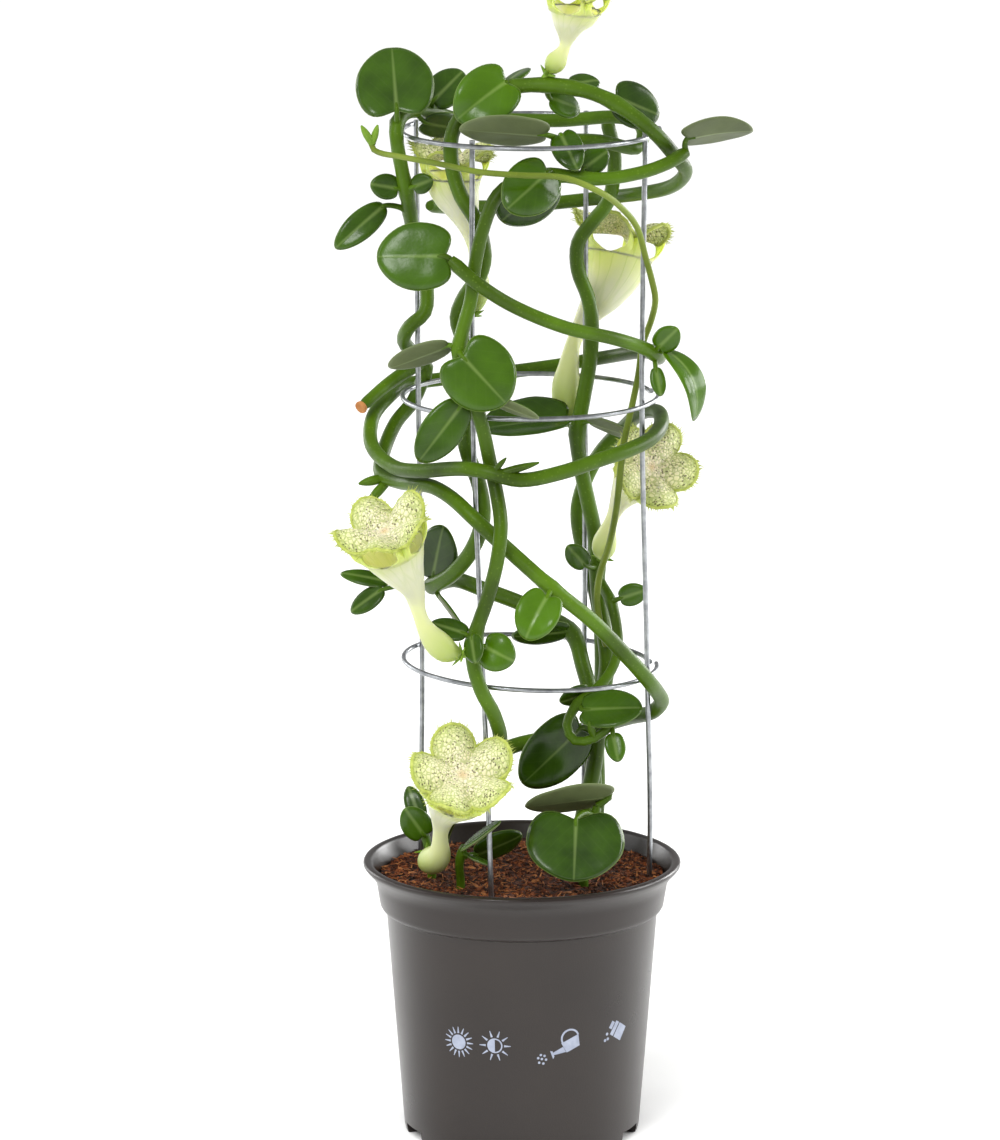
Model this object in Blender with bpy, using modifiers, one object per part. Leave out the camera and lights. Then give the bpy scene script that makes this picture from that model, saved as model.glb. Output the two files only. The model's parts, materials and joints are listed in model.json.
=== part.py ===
"""A potted parachute plant: twining stems on a ringed wire cage, with leaves and flowers.

The plant stands in a 12 cm plastic nursery pot. Metres, +Z up. The origin is at the middle of the
pot's base, on the ground, and the plant's front looks along -Y. Routes and places are in millimetres.
"""
import math

import bmesh
import bpy
from mathutils import Vector

# Driving dimensions, in millimetres
MM = 0.001
GAP = 0.3

POT_HEIGHT = 105.0
RIM_RADIUS = 60.0
RIM_INNER = 56.5
RIM_BOTTOM = 97.0
COLLAR_TOP = 54.8
COLLAR_BOTTOM = 53.7
STEP_HEIGHT = 87.2
BODY_TOP = 51.35
BASE_RADIUS = 44.5
WALL = 1.3
FOOT_WIDTH = 4.0
CHANNEL_HEIGHT = 4.2
CENTRE_RADIUS = 17.0
NOTCH_COUNT = 8
NOTCH_SIZE = (12.0, 14.0, 4.0)
DRAIN_COUNT = 6
DRAIN_RADIUS = 4.0
DRAIN_CIRCLE = 29.0
POT_STEPS = 32

SOIL_TOP = 98.0
SOIL_MOUND = 1.2
ROOT_DEPTH = 80.0
STAKE_DEPTH = 60.0

STAKE_RADIUS = 1.0
RING_WIRE = 0.9
RING_RADIUS = 47.0
CAGE_AXIS_X = 2.5
RING_STEPS = 30

ROUTE_STEP = 11.0
TIP_TAPER = 0.82
BLADE_THICKNESS = 1.5
PETIOLE_RADIUS = 1.1
BLADE_POINTS = 10
SMALL_BLADE = 22.0
# A blade wider than this share of its length turns to a heart: fuller at the sides, more tapered
NARROW_BLADE = 0.55
ROUND_SIDES = 0.14
BLADE_TAPER = 0.20
ROUND_BLADE_TAPER = 0.34
LOBE_DEPTH = 0.72

CANOPY_THICKNESS = 1.1
LOBES = 5
LOBE_NOTCH = 0.27
LOBE_REACH = 0.97
LOBE_CROWN = 0.28
LOBE_HEM = 0.28
CROWN_WAVE = 0.82
MIDDLE_RISE = 0.05
FLOWER_SIDES = 8
PILLAR_RADIUS = 1.0
STALK_RADIUS = 1.2

COLLECTION = "potted_parachute_plant"

# Cage stakes: points from the foot in the soil to the top
STAKES = {
    "stake_left": [(-38.4, 18.5, STAKE_DEPTH), (-38.4, 18.5, 103), (-37.8, 19.6, 181),
                   (-38.9, 16.3, 282), (-39.4, 14.8, 384)],
    "stake_front": [(-11.7, -37, STAKE_DEPTH), (-11.7, -37, 103), (-14.4, -41.3, 181),
                    (-18.2, -39.6, 282), (-18.4, -39.5, 384)],
    "stake_back": [(22.4, 36.4, STAKE_DEPTH), (23.6, 38.4, 103), (24, 39.1, 181), (24, 39.1, 282),
                   (24, 39.1, 384)],
    "stake_right": [(44.5, -2, STAKE_DEPTH), (48.2, -2, 103), (46.8, -6, 181), (44.2, -15.8, 282),
                    (45, -13.8, 384)],
}

# Cage rings: height on the axis, rise from left to right over the ring's width
RINGS = {"ring_low": (181.0, -2.0), "ring_mid": (282.5, 0.0), "ring_top": (382.0, 0.0)}

# Stems: radius, and the route that each one climbs, from its root in the soil to its tip
VINE_A = [
    (-31, 33, 80), (-31, 33, 98), (-31, 33, 102), (-27, 31, 120), (-17, 38, 132), (-3, 44, 138), (15, 48, 141),
    (30, 44, 146), (41, 24, 154), (49, 3, 161), (52.3, -6, 167), (50.5, -16, 173), (46.6, -28, 180.5),
    (40.5, -35, 189), (25.5, -46, 207), (10.7, -50, 220), (-4, -46, 232.5), (-16.4, -46, 244),
    (-26, -39, 251.6), (-33, -32, 254.4), (-40, -21, 253.3), (-46, -10, 252), (-52.7, 1, 253),
    (-52, 12, 259), (-47.5, 23.5, 268), (-41, 30.5, 275), (-38, 32, 281.5), (-36, 29.5, 288),
    (-40.6, 25, 294), (-44.3, 19, 300), (-42, 10.5, 307), (-36.3, 10, 312.5), (-35.5, 11.5, 320.6),
    (-37, 10.5, 331), (-40.6, 4, 344.4), (-42.3, -5, 357), (-44.3, -12, 369), (-46, -17, 380),
    (-46, -15, 387), (-41.4, -8, 390.4), (-33.4, 3, 388.5), (-22.4, 15, 384), (-4.6, 22, 383),
    (14, 20, 383), (33, 11, 385.6), (41.7, 5, 385), (44.6, -2, 381.4), (41.7, -10, 377),
    (28.3, -20, 381), (14.3, -27, 382.4)]
VINE_B = [
    (28, 33, 80), (28, 33, 98), (28, 33, 102), (29, 32, 123.5), (28.7, 31, 143.4), (30.2, 31, 159), (30.5, 31, 178.5),
    (29.6, 38, 192), (26, 44, 207), (22.2, 45, 220.4), (21.4, 44.5, 231.4), (24.4, 46, 242), (30, 43, 253),
    (38, 37, 263), (45, 23, 272), (51, 7, 275), (51.4, -8, 273), (47.5, -21, 270.5), (40, -31, 268.5),
    (29, -40, 266.4), (13.6, -49, 263), (-1, -54, 261.3), (-12.7, -53, 264), (-19.3, -50, 264.6),
    (-26.6, -43, 263.3), (-38.5, -31, 260.2), (-48, -16, 259), (-56, -1, 263.8), (-56, 12, 272),
    (-50, 27, 277.5), (-44, 40, 279.5), (-36.7, 45, 280), (-21.6, 49, 281), (-2.6, 52, 282.6),
    (14.5, 52, 285), (31.5, 46, 289), (45, 24, 295), (50.4, 6, 297), (50.6, -8, 298.3), (49, -18, 301.6),
    (43, -27, 306), (32.6, -36, 310.7), (15.4, -44, 316), (-3, -49, 324.4), (-16.3, -53, 333.5),
    (-26.4, -51, 342)]
VINE_C = [
    (26, 24, 80), (26, 24, 98), (26, 24, 102), (27.5, 24, 125.5), (26.7, 24, 143), (29.7, 23, 159), (32.3, 23.5, 174.4),
    (30.8, 25, 189.5), (28.9, 30, 202), (28.5, 34, 213), (27.4, 34.5, 224.5), (25, 34, 236), (22.3, 33.5, 249),
    (20.8, 31, 262), (23, 31, 275), (25.6, 33, 290), (26.3, 34, 303.5), (24.8, 34, 314), (21, 33.5, 324.5),
    (21, 33, 335), (26.2, 31, 343), (32, 28.5, 351), (34.3, 27, 361.5), (34.2, 26, 371), (31.2, 24, 383.4)]
VINE_D = [
    (-31, 20, 80), (-31, 20, 98), (-31, 20, 102), (-30.3, 12, 110.5), (-24, -5, 127), (-13.5, -25, 144.6), (-8.3, -38, 159.3),
    (-10.5, -47, 171.7), (-15.3, -50.5, 182), (-18.2, -50, 193), (-17, -49.5, 203.6), (-13, -50.5, 216),
    (-9.4, -54.5, 231), (-8, -53, 244.4), (-9.4, -48, 254.6), (-12, -45.5, 266.4), (-14.5, -47.5, 278.7),
    (-17.4, -48.5, 288.5), (-21, -48, 299), (-23.2, -48, 308.4), (-21.4, -47.5, 317.5), (-18.9, -46, 326.5),
    (-17.4, -46, 339), (-14, -46, 354), (-9, -45, 365), (-1, -42, 370), (10, -38, 371), (28, -38, 369.7),
    (42.6, -34, 371.3), (53, -31, 374.5), (59.6, -26, 377.8)]
VINE_E = [
    (20, 14, 80), (20, 14, 98), (20, 14, 102), (23.6, 13, 120), (27, 12, 136), (28.4, 11, 150), (26.5, 12, 163.5),
    (23, 18, 175.7), (19.3, 22, 187), (10.6, 19, 194), (-1, 13, 201), (-14, 8, 207), (-25, 3, 212),
    (-33.3, -12, 213), (-26, -26, 220.3), (-18.6, -33, 231), (-14.6, -36, 243.5), (-16, -34.5, 255.6),
    (-20, -35, 267), (-21.5, -35.8, 276.5), (-19.3, -34, 286.5), (-18.2, -33, 294.6), (-19, -32, 303),
    (-22, -32, 310), (-24, -33, 318), (-21, -34, 326), (-16, -35, 333), (-14, -35, 341),
    (-16.7, -34, 353), (-22.5, -32, 362.5), (-25.8, -29, 373.5), (-25.8, -28, 384.4), (-20.7, -27, 393),
    (-6.5, -27, 401), (6, -27, 402.6), (21, -28, 401), (33.6, -28, 396), (47, -27, 386),
    (55.8, -19, 375.3), (60, -8, 368), (55.4, 6, 360.5), (44, 24, 355), (29.4, 44.5, 350.2), (14.3, 48, 348),
    (-2.7, 44, 347), (-19.6, 34, 348.4), (-29, 26, 349.6), (-34.5, 17, 351.5)]
SIDE_SHOOT = [
    (29.5, 28, 206), (34, 19, 199), (36.3, 15, 186), (34.7, 9, 178), (28.6, 2, 170.5), (21, -4, 166),
    (16.8, -8, 158.6), (19.8, -10, 153), (27, -10, 154), (33.7, -9, 159)]
TWIG = [
    (31.8, 20.3, 183), (29.8, 16.5, 191), (28.3, 16, 201.4), (29.3, 12, 212), (32.6, 1, 226), (35, -10, 241.8),
    (36.4, -14, 257.4), (37.8, -13.5, 268.6), (40.7, -11, 281.3), (43, -8, 292.2), (44.5, -6, 303), (47.5, -8, 312),
    (49, -14, 321), (47.6, -18, 329), (45.3, -18.5, 337.4), (42, -24, 349.5), (36, -34, 358.4),
    (28, -46, 366), (15, -51, 372), (-1, -58, 374), (-15.5, -57, 375), (-30, -46, 376.3), (-44.7, -32, 377),
    (-54.4, -22, 378), (-56, -20, 383)]
SHOOT_LEFT = [(-34, -8, 80), (-34, -8, 98), (-34, -8, 102), (-35, -9, 110), (-37, -8, 118)]
SHOOT_MIDDLE = [(-23, -24, 80), (-23, -24, 98), (-23, -24, 102), (-23.5, -27, 110), (-22, -30, 117)]
SHOOT_RIGHT = [(23, -20, 80), (23, -20, 98), (23, -20, 102), (25, -20, 115), (28, -19, 130)]
CUT_END = [(-38, 28, 290.5), (-49.5, 17.5, 284.5), (-60, 6, 277.3)]

STEMS = {
    "stem_a": (3.0, VINE_A), "stem_b": (3.0, VINE_B), "stem_c": (3.2, VINE_C), "stem_d": (2.9, VINE_D),
    "stem_e": (3.1, VINE_E), "twig": (1.3, TWIG), "shoot_left": (1.8, SHOOT_LEFT),
    "shoot_middle": (1.8, SHOOT_MIDDLE), "shoot_right": (2.0, SHOOT_RIGHT),
}
BRANCHES = {"stem_a": [(2.7, CUT_END)], "stem_c": [(2.1, SIDE_SHOOT)]}

# Leaves on each stem: place on the stem, blade's foot, blade's tip, width, the way its upper side
# looks, fold along the midrib in degrees, bend of the tip as a share of the length, lobe size
FRONT = (0, -1, 0.15)
UNDERSIDE = (0, 0.72, 0.7)
LEAVES = {
    "stem_a": [
        ((-46, -16, 387), (-46, -19, 392), (-48, -5, 413.5), 30, FRONT, 8, 0.0, 0.5),
        ((-33, 3, 388.5), (-33, -1, 393), (-22, 8, 403), 14, (-0.5, -0.8, -0.3), 8, 0.0, 0.4),
        ((-39, -6, 390), (-36, -5, 386), (-22, 6, 382), 13, (0, -0.9, -0.4), 8, 0.0, 0.4),
        ((-43, -8, 361), (-46, -10, 362), (-56, -12, 364), 10, FRONT, 10, 0.0, 0.3),
        ((-43, -8, 362), (-40, -12, 363), (-33, -14, 366), 8, FRONT, 10, 0.0, 0.3),
        ((-42, -3, 352), (-51, -6, 355), (-69, -12, 340), 11, (0.3, -0.8, 0.5), 14, 0.05, 0.1),
        ((10.7, -50, 220), (9, -55, 218), (1, -60, 203), 17, (-0.2, -0.95, 0.2), 16, 0.1, 0.5),
        ((14, -27, 382), (8, -35, 385.5), (-23, -43, 389), 19, UNDERSIDE, 10, 0.0, 0.3),
        ((14, -27, 382), (14, -33, 385), (20, -43, 373.5), 12, FRONT, 10, 0.1, 0.4)],
    "stem_b": [
        ((-26.4, -51, 342), (-28, -52, 343.5), (-53, -50, 343), 26, (0, -0.97, 0.25), 5, 0.0, 0.5),
        ((49, -18, 301.6), (53, -22, 303), (63, -27, 278), 14, (0.75, -0.6, 0.3), 14, 0.22, 0.2),
        ((49, -18, 301.6), (50, -23, 305), (57, -28, 313), 10, FRONT, 12, 0.0, 0.3),
        ((49, -18, 301), (49, -22, 297), (51, -25, 287), 6, FRONT, 12, 0.0, 0.2)],
    "stem_c": [
        ((20.8, 31, 263), (17, 27, 269), (-16, 24, 265), 24, (0, -0.45, 0.9), 24, 0.0, 0.3),
        ((21, 31, 265), (25, 27, 268), (43, 12, 265), 12, UNDERSIDE, 8, 0.0, 0.3),
        ((34, 19, 200), (37, 16, 202), (47, 13, 206), 9, FRONT, 10, 0.0, 0.2),
        ((28.5, 33, 211), (24, 24, 213), (17, 18, 222), 9, FRONT, 12, 0.0, 0.3),
        ((21, -4, 166), (23, -7, 164), (45, -12, 166), 17, (0.1, -0.75, 0.65), 12, 0.0, 0.4),
        ((33.7, -9, 159), (34, -11, 156), (36, -15, 146), 8, FRONT, 14, 0.0, 0.2),
        ((28.6, 2, 170.5), (25, 0, 170), (14, -1, 166), 12, (0, -0.7, -0.6), 8, 0.0, 0.3)],
    "stem_d": [
        ((10, -38, 371), (9, -44, 373), (-6, -55, 361), 21, FRONT, -8, 0.1, 0.5),
        ((10, -38, 371), (8, -34, 368), (-8, -30, 353), 22, (0, -0.95, -0.3), 6, 0.0, 0.5),
        ((59.6, -26, 377.8), (60, -27, 383), (84, -27, 386), 20, (0, 0.6, 0.8), 12, 0.05, 0.5),
        ((22, -38, 370), (22, -35, 373), (31, -31, 379), 10, FRONT, 8, 0.0, 0.3),
        ((-23, -48, 308), (-22, -53, 307), (-6, -56, 290), 28, FRONT, 4, 0.0, 0.6),
        ((-23, -48, 308), (-27, -47, 310), (-49, -43, 301), 15, (-0.2, 0.7, 0.7), 8, 0.0, 0.2),
        ((-17.4, -48.5, 288.5), (-22, -51, 289), (-38, -53, 268), 16, (-0.2, -0.9, -0.3), 8, 0.0, 0.2),
        ((-17.4, -48.5, 288.5), (-12, -51, 291), (6, -53, 284), 9, (0, 0.6, 0.8), 8, 0.0, 0.2),
        ((-18, -50, 198), (-14, -53, 199), (-3, -56, 194), 15, FRONT, 8, 0.1, 0.4),
        ((-18, -50, 200), (-21, -51, 203), (-34, -46, 206), 10, (0, -0.7, 0.7), 10, 0.0, 0.3),
        ((-17.5, -49.8, 200.5), (-18.5, -55, 203.5), (-17, -59.5, 194), 9, (-0.5, -0.8, 0.2), 10, 0.0, 0.2)],
    "stem_e": [
        ((-6, -27, 401), (-6, -30, 404), (-24, -36, 391), 22, (0.1, -0.9, 0.35), 15, 0.1, 0.5),
        ((-6, -27, 401), (-5, -24, 403), (2, -14, 407), 9, (0, 0.3, 0.95), 8, 0.0, 0.3),
        ((33.6, -28, 396), (34, -21, 397), (50, -14, 389.5), 18, (0.2, -0.9, 0.4), 6, 0.0, 0.4),
        ((17, -28, 401), (18, -24, 402), (28, -20, 403), 11, (0, -0.6, 0.8), 8, 0.0, 0.3),
        ((9, -27, 402), (10, -23, 397), (21, -17, 392), 12, (0, -0.8, 0.6), 8, 0.0, 0.3),
        ((-33, -12, 213), (-33, -16, 217), (-29, -23, 238), 18, (-0.5, -0.85, 0), 6, 0.0, 0.4),
        ((-33, -12, 213), (-50, -7, 213), (-68, -5, 216), 8, (0, -0.6, 0.8), 12, 0.0, 0.2),
        ((-33, -12, 213), (-52, -10, 211), (-64, -9, 202), 9, (-0.3, -0.8, 0.5), 12, 0.0, 0.2),
        ((-33, -12, 213), (-31, -17, 210), (-20, -27, 197), 11, (0.6, 0.3, 0.7), 10, 0.0, 0.2),
        ((19.3, 22, 187), (17, 19, 189), (-4, 14, 188), 14, (0, -0.8, -0.6), 8, 0.0, 0.3),
        ((28, 11, 150), (22, 7, 154), (0, 0, 134), 25, (0, -0.9, -0.3), 6, 0.0, 0.4)],
    "shoot_left": [
        ((-36.5, -8, 116), (-37, -11, 117), (-44, -14, 128), 12, FRONT, 12, 0.0, 0.4),
        ((-37, -8, 117), (-38, -5, 121), (-43, 0, 133), 8, FRONT, 12, 0.0, 0.2)],
    "shoot_middle": [
        ((-22, -30, 117), (-22, -36, 118), (-8, -51, 132), 9, (-0.3, -0.3, 0.9), 16, 0.0, 0.2),
        ((-22.4, -29.1, 115), (-20, -31, 114), (-11, -35, 111), 7, (0, 0.2, 0.95), 8, 0.0, 0.2),
        ((-22.9, -28.3, 113), (-17, -24, 113), (0, -22, 120), 15, (0, -0.8, -0.6), 6, 0.0, 0.3)],
    "shoot_right": [
        ((27, -19.5, 126), (20, -35, 129), (19, -50, 109), 38, (0, -0.85, 0.5), 8, 0.0, 0.6),
        ((28, -19, 130), (33, -18, 134), (1, -26, 132), 20, UNDERSIDE, 10, 0.0, 0.3)],
}

# Buds and stubs on each stem: foot, tip, radius at the foot
BUDS = {
    "stem_a": [((-51, -2, 252), (-61, -4, 250), 1.7), ((-50, -3, 251), (-58, -7, 243), 1.7)],
    "stem_b": [((-11, -54, 263), (6, -55, 268), 1.4), ((-11, -54, 264), (-6, -56, 270), 1.0)],
    "stem_c": [((27, -10, 154), (25, -13, 161), 1.3)],
    "twig": [((-55, -21, 380), (-59, -22, 387), 1.3), ((-55, -21, 380), (-53, -20, 387), 1.2)],
}

# Flowers: stem, joint on that stem, the tube's route, the way the canopy looks, canopy radius
FLOWERS = {
    "flower_left": (
        "stem_d", (-18, -50, 195),
        [(-23, -54, 196), (-29, -57, 199), (-35, -58, 206), (-38, -58, 213), (-40, -57, 221),
         (-44, -57, 229), (-48, -57, 237)], (-0.3, -0.4, 0.87), 18.0),
    "flower_front": (
        "shoot_left", (-35, -9, 110),
        [(-35.5, -15, 111), (-34.5, -21, 109.5), (-31, -29, 114), (-30.5, -34, 123), (-29, -39, 132),
         (-26, -44.5, 139.5), (-22.5, -49.5, 145)], (0.05, -0.68, 0.72), 19.5),
    "flower_right": (
        "stem_c", (28.5, 34, 213),
        [(31, 26, 216), (31, 20.5, 221.5), (33, 17, 230), (37, 14, 240), (41.5, 11.4, 247), (45.8, 8.6, 252.5)],
        (0.35, -0.8, 0.35), 17.0),
    "flower_back": (
        "stem_c", (20.8, 31, 262),
        [(18, 37, 265), (16.5, 37.5, 277), (17.5, 38.5, 286), (19.5, 43, 295), (24, 47.5, 303.5), (30, 49.5, 312),
         (34, 51.5, 320), (36, 53, 327)], (0.2, 0.25, 0.95), 19.5),
    "flower_inside": (
        "stem_e", (-24, -33, 318),
        [(-18, -25, 318), (-16.5, -20, 325), (-17, -15, 335), (-19, -12, 345), (-22, -9, 354),
         (-25, -6, 361), (-26, -4, 366)], (0.05, -0.05, 1.0), 15.5),
    "flower_top": (
        "stem_e", (6, -27, 402.6),
        [(9, -27, 407), (12, -27, 411), (15, -27, 416), (16, -27, 420), (17, -27, 425), (19, -27, 430)],
        (0.1, -0.1, 1.0), 14.0),
}

# Tube radius along a flower, as a share of the canopy's radius: swollen foot, neck, funnel
TUBE_PROFILE = [(0.0, 0.07), (0.04, 0.16), (0.13, 0.26), (0.23, 0.265), (0.33, 0.20), (0.43, 0.15),
                (0.52, 0.16), (0.64, 0.25), (0.77, 0.42), (0.89, 0.58), (1.0, 0.70)]
WINDOW_HEIGHT = 0.36
DISH_DEPTH = 0.09
DISH_RADIUS = 0.42


def clear_scene():
    """Leaves an empty scene."""
    for obj in list(bpy.data.objects):
        bpy.data.objects.remove(obj)


def new_collection(name):
    """A collection in the scene."""
    made = bpy.data.collections.new(name)
    bpy.context.scene.collection.children.link(made)
    return made


def new_material(name, colour, roughness, metallic=0.0):
    """A Principled material of one colour, given as linear red, green and blue."""
    made = bpy.data.materials.new(name)
    made.use_nodes = True
    shader = made.node_tree.nodes["Principled BSDF"]
    shader.inputs["Base Color"].default_value = (*colour, 1.0)
    shader.inputs["Roughness"].default_value = roughness
    shader.inputs["Metallic"].default_value = metallic
    made.diffuse_color = (*colour, 1.0)
    return made


def add_object(name, data, collection, material=None):
    """An object in a collection, with its material."""
    made = bpy.data.objects.new(name, data)
    collection.objects.link(made)
    if material:
        data.materials.append(material)
    return made


def mesh_object(name, mesh_builder, collection, material=None, smooth=True):
    """An object whose mesh is drawn by a function that takes a bmesh."""
    mesh = bpy.data.meshes.new(name)
    shape = bmesh.new()
    mesh_builder(shape)
    shape.to_mesh(mesh)
    shape.free()
    if smooth:
        mesh.shade_smooth()
        mesh.set_sharp_from_angle(angle=math.radians(40))
    return add_object(name, mesh, collection, material)


def route_through(points, step=ROUTE_STEP):
    """Even points on a smooth curve through a route's own points, in millimetres."""
    route = [Vector(point) for point in points]
    lengths = [(b - a).length for a, b in zip(route, route[1:])]
    tangents = [(route[1] - route[0]) / lengths[0]]
    for i in range(1, len(route) - 1):
        tangents.append((route[i + 1] - route[i - 1]) / (lengths[i - 1] + lengths[i]))
    tangents.append((route[-1] - route[-2]) / lengths[-1])
    curve = []
    for i, length in enumerate(lengths):
        parts = max(1, round(length / step))
        for k in range(parts):
            t = k / parts
            curve.append(
                route[i] * (2 * t**3 - 3 * t**2 + 1)
                + tangents[i] * length * (t**3 - 2 * t**2 + t)
                + route[i + 1] * (3 * t**2 - 2 * t**3)
                + tangents[i + 1] * length * (t**3 - t**2))
    curve.append(route[-1])
    return curve


def tube_curve(name, points, radii, collection, resolution=2, material=None):
    """A round tube with filled caps along points, in millimetres, with a radius at each point."""
    data = bpy.data.curves.new(name, "CURVE")
    data.dimensions = "3D"
    data.bevel_depth = MM
    data.bevel_resolution = resolution
    data.use_fill_caps = True
    spline = data.splines.new("POLY")
    spline.points.add(len(points) - 1)
    for place, point, radius in zip(spline.points, points, radii):
        place.co = (*(Vector(point) * MM), 1.0)
        place.radius = radius
    return add_object(name, data, collection, material)


def meshed(obj):
    """The curve object turned to a mesh object, with its caps welded."""
    graph = bpy.context.evaluated_depsgraph_get()
    mesh = bpy.data.meshes.new_from_object(obj.evaluated_get(graph))
    name = obj.name
    made = bpy.data.objects.new(name, mesh)
    made.matrix_world = obj.matrix_world
    for holder in obj.users_collection:
        holder.objects.link(made)
    bpy.data.objects.remove(obj)
    made.name = name
    shape = bmesh.new()
    shape.from_mesh(mesh)
    bmesh.ops.remove_doubles(shape, verts=shape.verts, dist=0.00001)
    shape.to_mesh(mesh)
    shape.free()
    return made


def apply_modifiers(obj):
    """Bakes an object's modifiers into its mesh."""
    graph = bpy.context.evaluated_depsgraph_get()
    mesh = bpy.data.meshes.new_from_object(obj.evaluated_get(graph))
    obj.modifiers.clear()
    obj.data = mesh


def fuse(obj, name, others, solver="EXACT"):
    """Joins a collection's solids to an object in one union, and removes them."""
    joined = obj.modifiers.new(name, "BOOLEAN")
    joined.operation = "UNION"
    joined.operand_type = "COLLECTION"
    joined.collection = others
    joined.solver = solver
    joined.use_self = solver == "EXACT"
    apply_modifiers(obj)
    for extra in list(others.objects):
        bpy.data.objects.remove(extra)
    bpy.data.collections.remove(others)


def cut(obj, name, cutter):
    """A Boolean difference that stays on its object."""
    hole = obj.modifiers.new(name, "BOOLEAN")
    hole.operation = "DIFFERENCE"
    hole.object = cutter
    hole.solver = "EXACT"


def cut_all(obj, name, cutters):
    """A Boolean difference by every solid of a collection."""
    hole = obj.modifiers.new(name, "BOOLEAN")
    hole.operation = "DIFFERENCE"
    hole.operand_type = "COLLECTION"
    hole.collection = cutters
    hole.solver = "EXACT"


def as_cutter(obj):
    """Marks a helper that only cuts."""
    obj.hide_render = True
    obj.display_type = "WIRE"
    return obj


def turned(name, profile, collection, material):
    """A solid turned about Z from a profile of (radius, height) in millimetres."""
    mesh = bpy.data.meshes.new(name)
    points = [(radius * MM, 0, height * MM) for radius, height in profile]
    mesh.from_pydata(points, [(i, i + 1) for i in range(len(points) - 1)], [])
    obj = add_object(name, mesh, collection, material)
    screw = obj.modifiers.new("turn", "SCREW")
    screw.steps = POT_STEPS
    screw.render_steps = POT_STEPS
    screw.use_merge_vertices = True
    screw.merge_threshold = 0.00005
    screw.use_smooth_shade = True
    return obj


def wall_radius(height):
    """The pot's outer radius under its collar, at a height."""
    return BASE_RADIUS + (BODY_TOP - BASE_RADIUS) * height / STEP_HEIGHT


def pot_profile():
    """From the middle of the floor, up the inside, over the rim and down the outside."""
    floor = CHANNEL_HEIGHT + WALL
    foot_inner = BASE_RADIUS - FOOT_WIDTH
    return [
        (0, WALL + 0.3),
        (CENTRE_RADIUS - 1.5, WALL + 0.3),
        (CENTRE_RADIUS + 1.5, floor),
        (wall_radius(floor) - WALL, floor),
        (BODY_TOP - WALL, STEP_HEIGHT),
        (COLLAR_BOTTOM - WALL, STEP_HEIGHT + 1.6),
        (COLLAR_TOP - WALL, RIM_BOTTOM + 0.5),
        (RIM_INNER, POT_HEIGHT - 0.8),
        (RIM_INNER + 0.8, POT_HEIGHT),
        (RIM_RADIUS - 0.8, POT_HEIGHT),
        (RIM_RADIUS, POT_HEIGHT - 0.8),
        (RIM_RADIUS - 0.2, POT_HEIGHT - 2.0),
        (RIM_RADIUS - 2.4, POT_HEIGHT - 4.4),
        (COLLAR_TOP + 1.0, RIM_BOTTOM + 1.4),
        (COLLAR_TOP, RIM_BOTTOM - 1.2),
        (COLLAR_BOTTOM, STEP_HEIGHT + 0.8),
        (BODY_TOP, STEP_HEIGHT - 1.2),
        (BASE_RADIUS, 0),
        (foot_inner, 0),
        (foot_inner - 1.5, CHANNEL_HEIGHT),
        (CENTRE_RADIUS + 1.5, CHANNEL_HEIGHT),
        (CENTRE_RADIUS, 0),
        (0, 0),
    ]


def build_pot(parts, cutters, material):
    """The pot, with drain notches round its foot and drain holes in its floor."""
    pot = turned("pot", pot_profile(), parts, material)
    depth, width, height = NOTCH_SIZE
    for i in range(NOTCH_COUNT):
        angle = 2 * math.pi * (i + 0.5) / NOTCH_COUNT
        bpy.ops.mesh.primitive_cube_add(size=1)
        notch = as_cutter(bpy.context.object)
        notch.name = f"notch_cutter_{i}"
        notch.scale = (depth * MM, width * MM, 2 * height * MM)
        notch.rotation_euler = (0, 0, angle)
        reach = BASE_RADIUS * MM
        notch.location = (reach * math.cos(angle), reach * math.sin(angle), 0)
        move_to(notch, cutters)
        cut(pot, notch.name, notch)
    for i in range(DRAIN_COUNT):
        angle = 2 * math.pi * i / DRAIN_COUNT
        bpy.ops.mesh.primitive_cylinder_add(vertices=8, radius=DRAIN_RADIUS * MM, depth=10 * MM)
        drain = as_cutter(bpy.context.object)
        drain.name = f"drain_cutter_{i}"
        reach = DRAIN_CIRCLE * MM
        drain.location = (reach * math.cos(angle), reach * math.sin(angle), CHANNEL_HEIGHT * MM)
        move_to(drain, cutters)
        cut(pot, drain.name, drain)
    return pot


def move_to(obj, collection):
    """Puts an object in one collection alone."""
    for holder in list(obj.users_collection):
        holder.objects.unlink(obj)
    collection.objects.link(obj)


def soil_profile():
    """The soil's outline, 0.3 mm inside the pot's inner face, from its mound to its underside."""
    floor = CHANNEL_HEIGHT + WALL + GAP
    inside = WALL + GAP
    return [
        (0, SOIL_TOP + SOIL_MOUND),
        (30, SOIL_TOP + 0.6 * SOIL_MOUND),
        (COLLAR_TOP - inside - 0.2, SOIL_TOP - 0.6),
        (COLLAR_BOTTOM - inside, STEP_HEIGHT + 1.6),
        (BODY_TOP - inside, STEP_HEIGHT - 0.2),
        (wall_radius(floor) - inside, floor),
        (0, floor),
    ]


def build_soil(parts, cutters, material):
    """The filled soil, with a plain hole for each stem and stake."""
    soil = turned("soil", soil_profile(), parts, material)
    feet = [(points, radius) for radius, points in STEMS.values() if points[0][2] == ROOT_DEPTH]
    feet += [(points, STAKE_RADIUS) for points in STAKES.values()]
    for i, (points, radius) in enumerate(feet):
        foot = Vector(points[0])
        line = (Vector(points[1]) - foot).normalized()
        top = foot + line * (SOIL_TOP + 8 - foot.z)
        size = (radius + GAP) / math.cos(math.pi / 8) + 0.1
        hole = tube_curve(f"hole_cutter_{i}", [foot - line * GAP, top], [size, size], cutters)
        as_cutter(meshed(hole))
    cut_all(soil, "holes", cutters)
    return soil


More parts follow.
